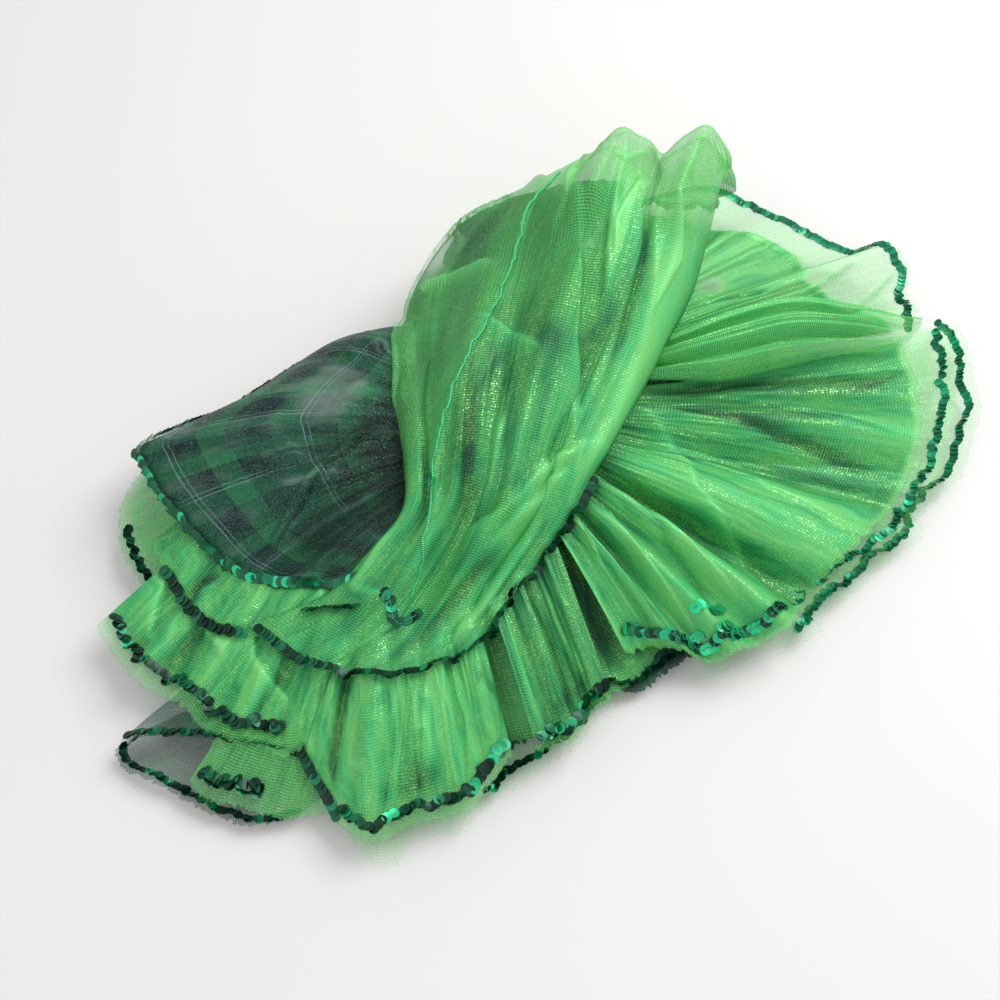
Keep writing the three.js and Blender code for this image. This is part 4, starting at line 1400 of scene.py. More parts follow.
@dataclass
class FrontPleats(Assembly):
    """The box pleats at the front, with the sheer flounce and the tartan that show under them."""

    under: Flounce = flounce(
        "front_flounce_under", Weave.GREEN, ((-112, -84, 14), (16, -24, 22)), 0.3,
        [(-85, 97, 9, 5), (-85, 113, 9, 4), (-84, 118, 8, 3), (-85, 112, 10, 6), (-85, 113, 9, 4),
         (-86, 119, 9, 3), (-86, 115, 10, 6), (-85, 110, 9, 4), (-83, 106, 10, 6), (-81, 102, 9, 4),
         (-80, 99, 10, 6), (-79, 90, 9, 4), (-77, 87, 10, 6), (-75, 84, 9, 4)],
        (200, 44),
        Finish(cover=0.24, edge=0.1, edge_width=8, gathers=Gathers(30, 1.0, 0.9), tone=0.7),
    )
    tartan: Flounce = flounce(
        "front_tartan", Weave.TARTAN, ((-60, -62, 24), (22, -24, 30)), 0.15,
        [(-71, 84, 14, 9), (-70, 84, 13, 8), (-69, 88, 15, 9), (-66, 80, 14, 8), (-65, 79, 16, 9),
         (-65, 83, 14, 6), (-64, 80, 16, 8), (-61, 77, 14, 6)],
        (120, 50),
        # Its low tone is painted shade, where it shows in the gaps between the pleats.
        Finish(cover=1.0, edge=0.85, edge_width=5, gathers=Gathers(20, 1.4, 0.6), tone=0.34),
    )
    inner: Flounce = flounce(
        "front_pleat_inner", Weave.GREEN, ((-66, -66, 38), (14, -30, 42)), 0.1,
        [(-74, 78, 26, 10), (-72, 80, 22, 9), (-70, 84, 24, 10), (-69, 76, 24, 9), (-67, 74, 22, 10),
         (-66, 78, 22, 8), (-65, 74, 24, 9), (-63, 66, 22, 8)],
        (110, 50),
        # Its low tone is painted shade in the gaps between the pleats; its spots are painted light.
        Finish(cover=1.0, edge=0.4, edge_width=8, gathers=Gathers(16, 1.0, 0.5), tone=0.24, relief=0.6,
               lights=(Spot((0.12, 0.8), (0.28, 0.7), 0.76), Spot((0.62, 0.95), (0.3, 0.2), 0.5))),
        solid=False,
    )
    middle: Flounce = flounce(
        "front_flounce_middle", Weave.GREEN, ((-44, -66, 45), (-14, -34, 51)), 0.05,
        [(-71, 84, 40, 18), (-70, 86, 36, 14), (-69, 91, 40, 17), (-68, 87, 30, 10), (-68, 88, 37, 16),
         (-69, 91, 36, 17)],
        (110, 70),
        Finish(
            cover=1.0, edge=0.35, edge_width=10, gathers=Gathers(9, 0.8, 0.3), tone=0.42, relief=0.6,
            creases=(
                Crease(((0.12, 0.2), (0.1, 0.6), (0.14, 0.98)), 2.5, 1.2, 0.2),
                Crease(((0.45, 0.1), (0.5, 0.5), (0.46, 0.98)), 3.0, -1.5, -0.2),
                Crease(((0.66, 0.3), (0.66, 0.6), (0.73, 0.85)), 2.2, 1.0, 0.18),
                Crease(((0.2, 0.86), (0.5, 0.83), (0.85, 0.86)), 3.0, 0.4, -0.12),
            ),
        ),
    )
    left: Flounce = flounce(
        "front_flounce_left", Weave.GREEN, ((-112, -78, 38), (-52, -62, 42)), 0.05,
        [(-103, 68, 33, 20), (-97, 86, 34, 15), (-93, 103, 31, 10), (-89, 113, 38, 13), (-85, 108, 34, 10),
         (-82, 108, 38, 13), (-79, 107, 36, 11), (-78, 107, 38, 14), (-77, 100, 34, 11), (-76, 94, 40, 15),
         (-74, 86, 36, 13)],
        (180, 68),
        Finish(
            cover=1.0, edge=0.35, edge_width=16, gathers=Gathers(15, 0.6, 0.3), tone=0.62, relief=0.4,
            streaks=(5, 0.18),
            creases=(
                Crease(((0.2, 0.3), (0.166, 0.5), (0.15, 0.75), (0.141, 0.96)), 2.6, -2.0, -0.45),
                Crease(((0.24, 0.2), (0.22, 0.55), (0.21, 0.9)), 3.0, 1.2, 0.15),
                Crease(((0.4, 0.1), (0.44, 0.4), (0.36, 0.75)), 2.0, 1.6, 0.08, 0, 6),
                Crease(((0.64, 0.3), (0.55, 0.6), (0.5, 0.92)), 2.0, 1.8, 0.1, 0, -6),
                Crease(((0.74, 0.1), (0.72, 0.4), (0.62, 0.7)), 2.0, 1.6, 0.1, 0, 5),
                Crease(((0.86, 0.2), (0.82, 0.6), (0.8, 0.97)), 3.5, 1.2, 0.14),
                Crease(((0.3, 0.82), (0.45, 0.86), (0.62, 0.82)), 5.0, 0.5, -0.15),
            ),
            # A patch of painted shade near the middle of its hem.
            lights=(Spot((0.5, 0.82), (0.08, 0.08), 0.4),),
        ),
    )

    def build(self) -> None:
        """Lays the front from the lowest sheet up, with the sequins on its hems."""
        under = self.lay(self.under)
        self.edge(
            under, (0.5, 0.86), 8, "front_under_sequins",
            shine=0.15, lean=(-35, -40), size=5.0, neat=0.5,
        )
        tartan = self.lay(self.tartan)
        self.edge(
            tartan, (0.5, 0.96), 5, "front_tartan_sequins",
            shine=0.1, lean=(-45, -45), size=4.8, neat=0.7,
        )
        self.lay(self.inner)
        middle = self.lay(self.middle)
        self.edge(
            middle, (0.02, 0.98), 7, "front_middle_sequins",
            shine=0.2, lean=(-35, -42), size=5.2, neat=0.5,
        )
        left = self.lay(self.left)
        self.edge(left, (0.0, 0.19), 3, "front_left_strip", shine=0.01, neat=0.8, thread=False)
        self.edge(
            left, (0.2, 0.7), 9, "front_left_sequins",
            shine=0.06, lean=(-48, -40), size=5.0, neat=0.7,
        )
        self.edge(left, (0.7, 0.98), 9, "front_right_sequins", shine=0.35, lean=(-10, -25))


@dataclass
class RightFan(Assembly):
    """Three flounces, one on another, that fan out to the right, under a rolled fold."""

    lower: Flounce = flounce(
        "right_flounce_lower", Weave.GREEN, ((20, 48, 34), (-4, -8, 34)), 0.4,
        [(17, 207, 15, 8), (13, 211, 14, 6), (8, 207, 16, 9), (4, 208, 14, 6), (-1, 201, 16, 10),
         (-6, 195, 14, 6), (-10, 185, 16, 10), (-13, 176, 14, 6), (-17, 177, 16, 10), (-19, 170, 15, 6),
         (-22, 163, 16, 10), (-25, 158, 15, 6), (-29, 152, 16, 10), (-32, 146, 15, 6),
         (-36, 147, 16, 10), (-39, 140, 15, 6), (-43, 131, 16, 9), (-48, 124, 15, 6), (-53, 120, 16, 8)],
        (280, 40),
        Finish(cover=0.26, edge=0.12, edge_width=12, gathers=Gathers(50, 0.4, 0.5), tone=0.95, relief=0.3),
    )
    middle: Flounce = flounce(
        "right_flounce_middle", Weave.GREEN, ((18, 44, 42), (-4, -8, 42)), 0.35,
        [(16, 201, 22, 14), (12, 201, 20, 11), (8, 197, 24, 15), (5, 197, 20, 11), (1, 191, 24, 15),
         (-3, 188, 21, 11), (-7, 180, 24, 15), (-10, 175, 21, 11), (-13, 170, 24, 15), (-16, 160, 22, 11),
         (-20, 149, 25, 15), (-24, 140, 22, 12), (-29, 135, 24, 14)],
        (260, 44),
        Finish(cover=0.42, edge=0.16, edge_width=30, gathers=Gathers(40, 0.5, 0.5), tone=0.9, relief=0.3),
    )
    upper: Flounce = flounce(
        "right_flounce_upper", Weave.GREEN, ((12, 34, 50), (-16, -32, 50)), 0.05,
        [(17, 178, 28, 20), (13, 182, 24, 14), (6, 179, 34, 18), (1, 176, 42, 24), (-3, 173, 34, 17),
         (-7, 168, 25, 11), (-12, 159, 36, 18), (-19, 148, 45, 24), (-24, 140, 41, 22), (-28, 134, 26, 12),
         (-35, 135, 48, 25), (-39, 127, 38, 18), (-43, 120, 44, 23), (-46, 112, 33, 15), (-48, 97, 43, 20),
         (-51, 83, 37, 16), (-58, 78, 42, 22)],
        (300, 76),
        Finish(
            cover=1.0, edge=0.35, edge_width=5, gathers=Gathers(64, 0.9, 0.2), tone=0.56, relief=0.7,
            streaks=(11, 0.14),
            # Patches of painted shade near the gather and under the roll, and one of painted light.
            lights=(Spot((0.07, 0.4), (0.06, 0.3), 0.4), Spot((0.5, 0.1), (0.6, 0.12), 0.34),
                    Spot((0.15, 0.5), (0.08, 0.4), 0.34),
                    Spot((0.72, 0.7), (0.14, 0.3), 0.68)),
            creases=(
                Crease(((0.09, 0.08), (0.3, 0.28), (0.465, 0.46), (0.56, 0.75), (0.62, 0.98)),
                       2.2, 2.2, 0.1, 0, -4),
                Crease(((0.14, 0.2), (0.19, 0.44), (0.23, 0.6), (0.26, 0.78), (0.28, 0.94)),
                       4.0, -2.5, -0.2),
                Crease(((0.02, 0.15), (0.04, 0.4), (0.06, 0.7), (0.09, 0.96)), 5.0, -1.0, -0.2),
                Crease(((0.05, 0.3), (0.14, 0.6), (0.195, 0.94)), 1.8, 2.4, 0.12, 0, 5),
                Crease(((0.3, 0.2), (0.35, 0.5), (0.38, 0.66), (0.41, 0.97)), 1.8, 2.2, 0.12, 0, 5),
                Crease(((0.56, 0.12), (0.6, 0.4), (0.64, 0.62), (0.66, 0.85)), 1.6, 2.4, 0.15, 0, -5),
                Crease(((0.55, 0.2), (0.66, 0.5), (0.72, 0.85)), 3.0, -1.4, -0.2),
                Crease(((0.7, 0.2), (0.76, 0.5), (0.8, 0.9)), 1.6, 2.0, 0.12, 0, -4),
                Crease(((0.8, 0.1), (0.85, 0.5), (0.88, 0.95)), 2.5, -1.6, -0.22),
                Crease(((0.86, 0.1), (0.92, 0.5), (0.93, 0.92)), 1.6, 1.8, 0.12, 0, -4),
                Crease(((0.6, 0.93), (0.72, 0.9), (0.86, 0.93)), 4.0, 0.4, -0.1),
            ),
        ),
    )

    spangled: tuple = ((0.74, 0.76), (0.7, 0.8), (0.79, 0.86), (0.72, 0.88))

    def build(self) -> None:
        """Lays the three flounces, with the sequins on their hems and four short strings on the upper."""
        lower = self.lay(self.lower)
        self.edge(
            lower, (0.0, 0.8), 8, "right_lower_sequins",
            shine=0.08, lean=(40, 12), size=4.6, neat=0.9, shade=0.22,
        )
        middle = self.lay(self.middle)
        self.edge(
            middle, (0.0, 1.0), 8, "right_middle_sequins",
            shine=0.08, lean=(40, 10), size=4.6, neat=0.9, shade=0.22,
        )
        upper = self.lay(self.upper)
        self.edge(upper, (0.6, 0.98), 10, "right_upper_sequins", shine=0.3, lean=(10, -15))
        for k, (u, v) in enumerate(self.spangled):
            way = (u, v), (u + 0.012, v + 0.004), (u + 0.026, v)
            spangles = SequinString(f"right_upper_spangles_{k}", shine=0.9, lean=(10, 0))
            self.trim(spangles, sewn_line(upper, way))


@dataclass
class LeftTiers(Assembly):
    """The green tiers that come out from under the tartan on the left."""

    side: Flounce = flounce(
        "left_tier_side", Weave.GREEN, ((-186, 16, 24), (-166, -30, 30)), 0,
        [(-163, 34, 20, 16), (-162, 48, 17, 12), (-158, 54, 15, 10), (-154, 55, 16, 12), (-152, 52, 15, 9)],
        (70, 44),
        Finish(cover=0.7, edge=0.45, gathers=Gathers(14, 1.0, 0.5), tone=0.55),
    )
    low: Flounce = flounce(
        "left_tier_low", Weave.GREEN, ((-165, -24, 30), (-96, -74, 36)), 0,
        [(-137, 86, 26, 19), (-132, 90, 26, 14), (-128, 93, 30, 19), (-125, 92, 27, 13), (-121, 91, 31, 19),
         (-118, 94, 28, 13), (-115, 92, 33, 19), (-113, 86, 30, 14), (-111, 85, 33, 18),
         (-111, 76, 35, 22)],
        (160, 68),
        Finish(
            cover=1.0, edge=0.3, edge_width=16, gathers=Gathers(11, 0.7, 0.4), tone=0.54, relief=0.9,
            streaks=(6, 0.16),
            creases=(
                Crease(((0.03, 0.5), (0.1, 0.7), (0.18, 0.85)), 2.0, 2.4, 0.25, 0, 4),
                Crease(((0.5, 0.4), (0.58, 0.58), (0.72, 0.68), (0.866, 0.77)), 1.8, 2.6, 0.3, 0, 5),
                Crease(((0.22, 0.45), (0.36, 0.62), (0.52, 0.7)), 1.8, 2.2, 0.22, 0, -5),
                Crease(((0.3, 0.3), (0.32, 0.6), (0.3, 0.95)), 4.0, -1.5, -0.15),
                Crease(((0.75, 0.3), (0.76, 0.6), (0.72, 0.95)), 4.0, -1.5, -0.18),
            ),
        ),
    )
    upper: Flounce = flounce(
        "left_tier_upper", Weave.GREEN, ((-150, 0, 34), (-84, -56, 42)), 0,
        [(-144, 69, 33, 24), (-134, 75, 36, 28), (-130, 80, 33, 24), (-126, 81, 37, 29), (-123, 77, 34, 25),
         (-124, 70, 38, 31), (-124, 65, 37, 29), (-122, 62, 38, 30), (-119, 59, 37, 28)],
        (140, 60),
        Finish(cover=1.0, edge=0.7, edge_width=6, gathers=Gathers(9, 0.6, 0.5), tone=0.5, relief=0.9,
               streaks=(6, 0.16),
               creases=(
                   Crease(((0.1, 0.3), (0.2, 0.5), (0.42, 0.62), (0.6, 0.66)), 1.8, 2.8, 0.28, 0, 5),
                   Crease(((0.5, 0.2), (0.46, 0.5), (0.5, 0.9)), 2.0, 2.2, 0.2, 0, -4),
                   Crease(((0.75, 0.5), (0.84, 0.7), (0.95, 0.8)), 2.0, 2.2, 0.12, 0, 5),
                   Crease(((0.3, 0.7), (0.25, 0.85), (0.28, 0.98)), 2.6, -1.6, -0.2),
               )),
    )

    def build(self) -> None:
        """Lays the three tiers, with the sequins on their hems."""
        side = self.lay(self.side)
        self.edge(side, (0.5, 1.0), 5, "left_side_sequins", shine=0.02, lean=(-40, -40), size=4.8, neat=0.8)
        low = self.lay(self.low)
        self.edge(low, (0.02, 0.84), 10, "left_low_sequins", shine=0.1, lean=(-46, -12), size=5.2, neat=0.7)
        upper = self.lay(self.upper)
        self.edge(upper, (0.1, 0.56), 1, "left_upper_sequins", shine=0.02, neat=0.8, thread=False)


@dataclass
class BackFlounce(Assembly):
    """The sheer flounce behind the roll, and the roll itself."""

    back: Flounce = flounce(
        "back_flounce", Weave.GREEN, ((21, 101, 50), (40, 50, 48)), 0.05,
        [(104, 66, 54, 10), (88, 82, 50, 8), (72, 106, 46, 12), (59, 126, 40, 20), (51, 134, 34, 16),
         (42, 136, 42, 21), (36, 148, 35, 16), (31, 160, 33, 13), (28, 170, 42, 28), (25, 175, 36, 20),
         (22, 168, 32, 14), (19, 165, 36, 20), (17, 160, 32, 17)],
        (220, 68),
        Finish(
            cover=0.9, edge=0.16, edge_width=6, gathers=Gathers(44, 0.9, 0.5), tone=0.66, relief=0.7,
            streaks=(14, 0.16),
            lap=(
                (0.0, 0.6), (0.29, 0.65), (0.41, 0.76), (0.473, 0.8), (0.53, 0.785), (0.62, 0.68),
                (0.7, 0.61), (0.78, 0.67), (0.874, 0.76), (0.94, 0.86), (1.0, 0.9),
            ),
            single=0.36,
            veils=(Spot((0.51, 0.4), (0.035, 0.06), 0.2),),
            # A patch where the painted light and shade are evened out, a little darker.
            lights=(Spot((0.85, 0.3), (0.25, 0.3), 0.6),),
            creases=(
                Crease(((0.29, 0.65), (0.41, 0.76), (0.53, 0.785), (0.62, 0.7), (0.7, 0.61)),
                       2.4, 1.5, 0.1, 0.3),
                Crease(((0.7, 0.61), (0.78, 0.67), (0.874, 0.76), (0.94, 0.8)), 2.4, 1.5, 0.1, 0.3),
                Crease(((0.74, 0.63), (0.707, 0.77), (0.695, 0.835)), 2.0, 2.0, 0.0, 0.3),
                Crease(((0.94, 0.72), (0.83, 0.83), (0.74, 0.96)), 2.0, 2.0, 0.0, 0.35),
                Crease(((0.577, 0.27), (0.65, 0.36), (0.7, 0.5)), 2.6, -1.5, -0.3, 0.2),
                Crease(((0.35, 0.2), (0.38, 0.5), (0.36, 0.75)), 3.0, 2.0, 0.1, 0.3),
                Crease(((0.9, 0.3), (0.88, 0.6), (0.9, 0.95)), 2.0, 1.5, 0.0, 0.3),
            ),
        ),
    )
    roll: Wrap = Wrap(
        "right_flounce_roll", Weave.GREEN, 0.7,
        (
            Section((36, 58, 54), (30, 40, 50), 4), Section((58, 66, 54), (54, 42, 46), 10),
            Section((88, 84, 48), (82, 47, 38), 15), Section((122, 98, 40), (112, 58, 32), 17),
            Section((154, 100, 32), (146, 71, 26), 12), Section((182, 100, 24), (178, 80, 20), 6),
            Section((196, 101, 20), (194, 95, 18), 2),
        ),
        (Ridge(0.3, 0.09, -8, 0, 0.75), Ridge(0.72, 0.08, -6, 0, 0.85)),
        (80, 110),
        Finish(
            cover=0.85, edge=0.5, gathers=Gathers(9, 0.9, 0.9), tone=0.62, relief=0.8,
            veils=(Spot((0.5, 1.0), (0.9, 0.25), 0.3),),
        ),
    )

    def build(self) -> None:
        """Lays the back flounce and the roll, with the sequins on the flounce's hem."""
        back = self.lay(self.back)
        self.edge(
            back, (0.03, 1.0), 7, "back_sequins",
            shine=0.08, lean=(30, 30), size=4.6, neat=0.9, shade=0.2,
        )
        self.lay(self.roll)


@dataclass
class TartanFlare(Assembly):
    """The wide tartan flare on the left."""

    flare: Flounce = flounce(
        "tartan_flare", Weave.TARTAN, ((-80, -38, 52), (-68, 44, 54)), 0,
        [(-123, 42, 50, 44), (-134, 54, 47, 37), (-140, 67, 50, 38), (-145, 82, 46, 34), (-148, 93, 52, 37),
         (-154, 102, 49, 33), (-160, 112, 56, 36), (-168, 124, 54, 33), (-173, 134, 58, 35),
         (-176, 141, 58, 34), (-178, 145, 58, 34), (-185, 129, 60, 20), (-193, 112, 61, 7),
         (-203, 97, 60, 6), (-215, 84, 61, 6), (-227, 70, 58, 6), (-242, 55, 56, 6)],
        (230, 84),
        Finish(
            cover=1.0, edge=0.85, edge_width=6, gathers=Gathers(26, 0.8, 0.2), tone=0.46, relief=0.8,
            streaks=(13, 0.26),
            # Patches of painted shade near the gather and at the left, and of painted light across the
            # middle.
            lights=(
                Spot((0.3, 0.1), (0.5, 0.26), 0.04), Spot((0.7, 0.36), (0.12, 0.16), 0.86),
                Spot((0.56, 0.5), (0.07, 0.2), 0.52), Spot((0.35, 0.78), (0.25, 0.2), 0.56),
                Spot((0.2, 0.55), (0.12, 0.3), 0.2),
            ),
            creases=(
                Crease(((0.625, 0.11), (0.52, 0.18), (0.444, 0.26), (0.344, 0.51), (0.243, 0.83)),
                       1.2, 1.8, -0.45),
                Crease(((0.64, 0.11), (0.54, 0.19), (0.46, 0.28), (0.36, 0.53), (0.26, 0.85)),
                       1.6, 2.4, 0.1, 0, 6),
                Crease(((0.1, 0.1), (0.12, 0.5), (0.1, 0.9)), 4.0, -1.5, -0.25),
                Crease(((0.75, 0.1), (0.8, 0.4), (0.84, 0.8)), 5.0, -2.0, -0.2),
                Crease(((0.6, 0.4), (0.58, 0.6), (0.6, 0.9)), 5.0, 1.5, 0.1),
                Crease(((0.35, 0.3), (0.45, 0.44), (0.6, 0.5), (0.74, 0.44)), 2.0, 1.4, 0.04, 0, 5),
                Crease(((0.5, 0.24), (0.58, 0.3), (0.7, 0.3), (0.78, 0.25)), 2.0, 1.4, 0.05, 0, -5),
                Crease(((0.42, 0.5), (0.5, 0.62), (0.52, 0.8)), 1.6, 1.6, -0.15, 0, 4),
            ),
        ),
    )

    def build(self) -> None:
        """Lays the flare, with the sequins on its hem."""
        flare = self.lay(self.flare)
        self.edge(
            flare, (0.0, 0.98), 3, "flare_sequins",
            shine=0.22, lean=(-34, -5), size=5.4, neat=0.6, shade=0.1,
        )


@dataclass
class TopWrap(Assembly):
    """The wide wrap over the top of the heap, with the tartan that shows through it.

    Attributes:
        bulge: The tartan.
        wrap: The wrap.
        foot_inset: How far up from its foot the wrap's sequins run, as a share of its length.
        seam: The way of the teal seam, as shares across and along the wrap.
    """

    bulge: Wrap = Wrap(
        "tartan_bulge", Weave.TARTAN, 0.5,
        (
            Section((-54, 142, 6), (34, 164, 6), 0), Section((-54, 141, 44), (31, 152, 64), 14),
            Section((-59, 134, 52), (26, 138, 78), 12), Section((-72, 112, 52), (14, 114, 76), 14),
            Section((-82, 86, 50), (2, 90, 72), 14), Section((-83, 50, 52), (-12, 58, 68), 14),
            Section((-76, 10, 54), (-26, 24, 64), 8), Section((-74, -14, 56), (-44, -6, 58), 3),
        ),
        (Ridge(0.45, 0.12, -7, 0.2, 0.85),),
        (76, 96),
        Finish(
            cover=1.0, edge=1.0, gathers=Gathers(9, 1.0, 1.0), tone=0.3, streaks=(7, 0.22),
            veils=(Spot((0.5, 0.0), (1.5, 0.1), 0.5), Spot((0.12, 0.4), (0.14, 0.13), 0.3)),
            # A painted highlight on its left and painted shade across its middle.
            lights=(Spot((0.14, 0.4), (0.12, 0.12), 1.0), Spot((0.6, 0.35), (0.3, 0.2), 0.08)),
        ),
        3.0,
    )
    wrap: Wrap = Wrap(
        "top_wrap", Weave.GREEN, 0.5,
        (
            Section((-66, 150, 4), (92, 176, 5), 0, -4), Section((-60, 146, 12), (88, 161, 50), 46, -3),
            Section((-60, 141, 16), (84, 148, 86), 48), Section((-70, 130, 16), (80, 136, 86), 48),
            Section((-82, 112, 14), (73, 112, 72), 56), Section((-86, 82, 20), (64, 84, 62), 55),
            Section((-85, 50, 36), (46, 50, 56), 45), Section((-84, 16, 52), (28, 18, 54), 32),
            Section((-80, -14, 56), (13, -10, 52), 24), Section((-80, -38, 54), (1, -37, 48), 15, 1),
            Section((-95, -58, 48), (-20, -68, 42), 8, 5), Section((-116, -76, 40), (-42, -98, 34), 4, 12),
            Section((-152, -88, 32), (-48, -105, 30), 0, 20),
        ),
        (
            Ridge(0.6, 0.06, 13, 0.06, 0.4), Ridge(0.76, 0.045, -12, 0.06, 0.32),
            Ridge(0.9, 0.05, 9, 0.06, 0.4), Ridge(0.3, 0.05, 4, 0.25, 0.98),
            Ridge(0.45, 0.06, -5, 0.3, 0.95), Ridge(0.6, 0.05, 4, 0.35, 0.98),
            Ridge(0.78, 0.045, -5, 0.45, 0.98), Ridge(0.14, 0.05, -3, 0.3, 0.9),
        ),
        (190, 210),
        Finish(
            cover=1.0, edge=0.8, edge_width=5, gathers=Gathers(22, 0.3, 0.3), tone=0.5, relief=0.6,
            veils=(
                Spot((0.15, 0.34), (0.34, 0.17), 0.13), Spot((0.1, 0.52), (0.18, 0.14), 0.36),
                Spot((0.5, 0.0), (0.9, 0.09), 0.6), Spot((0.5, 0.14), (0.8, 0.07), 0.45),
                Spot((0.76, 0.235), (0.36, 0.085), 0.42), Spot((0.6, 0.31), (0.12, 0.06), 0.55),
                Spot((0.86, 0.31), (0.12, 0.06), 0.52),
                Spot((0.62, 0.21), (0.1, 0.03), 0.34), Spot((0.88, 0.22), (0.07, 0.03), 0.38),
                Spot((0.46, 0.36), (0.15, 0.09), 0.36), Spot((0.66, 0.47), (0.08, 0.05), 0.5),
                Spot((0.607, 0.766), (0.07, 0.02), 0.6), Spot((0.5, 0.86), (0.1, 0.02), 0.65),
            ),
            # Patches of painted light on the crest and the right edge, and of painted shade lower down.
            lights=(
                Spot((0.72, 0.2), (0.4, 0.14), 0.95), Spot((0.95, 0.5), (0.07, 0.2), 0.74),
                Spot((0.607, 0.766), (0.06, 0.018), 0.25), Spot((0.53, 0.862), (0.05, 0.015), 0.3),
                Spot((0.75, 0.5), (0.1, 0.06), 0.35), Spot((0.14, 0.4), (0.24, 0.16), 0.5),
                Spot((0.46, 0.36), (0.16, 0.08), 0.3), Spot((0.3, 0.66), (0.1, 0.08), 0.34),
                Spot((0.25, 0.9), (0.25, 0.05), 0.42),
                Spot((0.42, 0.51), (0.36, 0.13), 0.27), Spot((0.55, 0.78), (0.22, 0.08), 0.4),
            ),
            creases=(
                Crease(((0.44, 0.2), (0.49, 0.235), (0.55, 0.24), (0.6, 0.22), (0.63, 0.185)),
                       1.6, 1.0, 0.25, 0.4, 2),
                Crease(((0.56, 0.2), (0.58, 0.26), (0.66, 0.27), (0.7, 0.235), (0.717, 0.2)),
                       1.4, 1.0, 0.2, 0.4, 2),
                Crease(((0.76, 0.2), (0.8, 0.245), (0.868, 0.24), (0.92, 0.225), (0.98, 0.24)),
                       1.6, 1.0, 0.25, 0.4, 2),
                Crease(((0.4, 0.175), (0.6, 0.165), (0.8, 0.17), (0.99, 0.18)), 2.0, 0.5, 0.3, 0.4),
                Crease(((0.52, 0.2), (0.5, 0.26), (0.54, 0.33), (0.5, 0.4)), 1.6, 1.6, 0.3, 0.35, 4),
                Crease(((0.7, 0.24), (0.74, 0.31), (0.7, 0.38), (0.74, 0.45)), 1.6, 1.8, 0.3, 0.35, -4),
                Crease(((0.9, 0.25), (0.88, 0.33), (0.93, 0.41), (0.9, 0.5)), 1.6, 1.8, 0.25, 0.3, 4),
                Crease(((0.01, 0.26), (0.04, 0.33), (0.03, 0.42), (0.06, 0.5)), 3.0, 4.0, 0.1, 0, 4),
                Crease(((0.06, 0.24), (0.08, 0.3), (0.05, 0.37)), 3.0, -4.0, -0.2, 0, 2),
                Crease(((0.01, 0.46), (0.05, 0.53), (0.04, 0.6)), 3.0, 4.0, 0.1, 0, 4),
                Crease(((0.0, 0.36), (0.05, 0.4), (0.1, 0.43)), 2.4, -3.5, -0.2, 0, 3),
                Crease(((0.2, 0.02), (0.22, 0.08), (0.18, 0.14)), 3.0, 2.0, -0.2, 0.2),
                Crease(((0.46, 0.01), (0.44, 0.07), (0.5, 0.13)), 3.0, 2.0, 0.15, 0.2),
                Crease(((0.72, 0.01), (0.76, 0.06), (0.7, 0.12)), 3.0, 2.0, -0.2, 0.2),
                Crease(((0.9, 0.02), (0.86, 0.08), (0.9, 0.13)), 3.0, 2.0, 0.12, 0.2),
                Crease(((0.04, 0.395), (0.17, 0.392), (0.25, 0.402), (0.34, 0.418)),
                       1.8, 2.4, 0.45, 0.45, 5),
                Crease(((0.27, 0.5), (0.36, 0.503), (0.48, 0.525), (0.6, 0.556)), 1.8, 2.6, 0.3, 0.2, 5),
                Crease(((0.59, 0.4), (0.65, 0.475), (0.703, 0.536), (0.79, 0.6), (0.858, 0.661)),
                       1.6, 3.0, 0.2, 0.2, 6),
                Crease(((0.82, 0.38), (0.89, 0.46), (0.954, 0.53), (0.98, 0.62), (0.96, 0.72)),
                       3.0, 3.0, 0.2, 0.1, -4),
                Crease(
                    (
                        (0.97, 0.65), (0.85, 0.68), (0.763, 0.695), (0.68, 0.732), (0.594, 0.778),
                        (0.4, 0.795),
                    ),
                    1.8, 3.6, 0.25, 0.2, -6,
                ),
                Crease(((0.9, 0.7), (0.78, 0.73), (0.7, 0.77), (0.62, 0.82)), 1.8, 2.6, 0.15, 0.1, -5),
                Crease(((0.63, 0.184), (0.66, 0.3), (0.7, 0.42), (0.78, 0.52)), 2.0, 3.0, 0.25, 0.25, -5),
                Crease(((0.78, 0.23), (0.79, 0.34), (0.84, 0.46), (0.9, 0.58)), 3.0, -3.0, -0.2),
                Crease(((0.47, 0.2), (0.5, 0.28), (0.57, 0.34), (0.6, 0.41)), 1.8, 2.6, 0.3, 0.3, 5),
                Crease(
                    (
                        (0.406, 0.243), (0.397, 0.368), (0.384, 0.43), (0.361, 0.47), (0.329, 0.519),
                        (0.251, 0.598), (0.205, 0.649), (0.169, 0.72), (0.3, 0.816), (0.411, 0.87),
                    ),
                    2.0, 2.2, 0.1, 0.15, 5,
                ),
                Crease(((0.3, 0.55), (0.33, 0.64), (0.36, 0.72), (0.42, 0.8)), 5.0, -3.0, -0.25),
                Crease(((0.12, 0.47), (0.1, 0.6), (0.12, 0.72), (0.2, 0.82)), 3.0, -2.5, -0.25),
                Crease(((0.03, 0.78), (0.041, 0.83), (0.07, 0.888), (0.16, 0.885), (0.27, 0.879)),
                       2.4, 2.0, 0.2, 0.1),
                Crease(((0.48, 0.62), (0.5, 0.7), (0.48, 0.78)), 2.0, 3.0, 0.1, 0, 5),
                Crease(((0.73, 0.8), (0.66, 0.86), (0.6, 0.92), (0.57, 0.97)), 4.0, -2.0, -0.2),
                Crease(((0.86, 0.78), (0.85, 0.86), (0.8, 0.95)), 2.0, 2.6, 0.1, 0, 5),
                Crease(((0.42, 0.88), (0.36, 0.93), (0.33, 0.98)), 2.0, 2.2, 0.1, 0, 5),
            ),
        ),
        7.0,
    )
    foot_inset: float = 0.022
    seam: tuple = (
        (0.43, 0.22), (0.4, 0.3), (0.397, 0.368), (0.38, 0.44), (0.345, 0.5), (0.29, 0.565),
        (0.235, 0.62), (0.185, 0.68), (0.175, 0.735), (0.25, 0.79), (0.34, 0.84), (0.4, 0.875),
    )

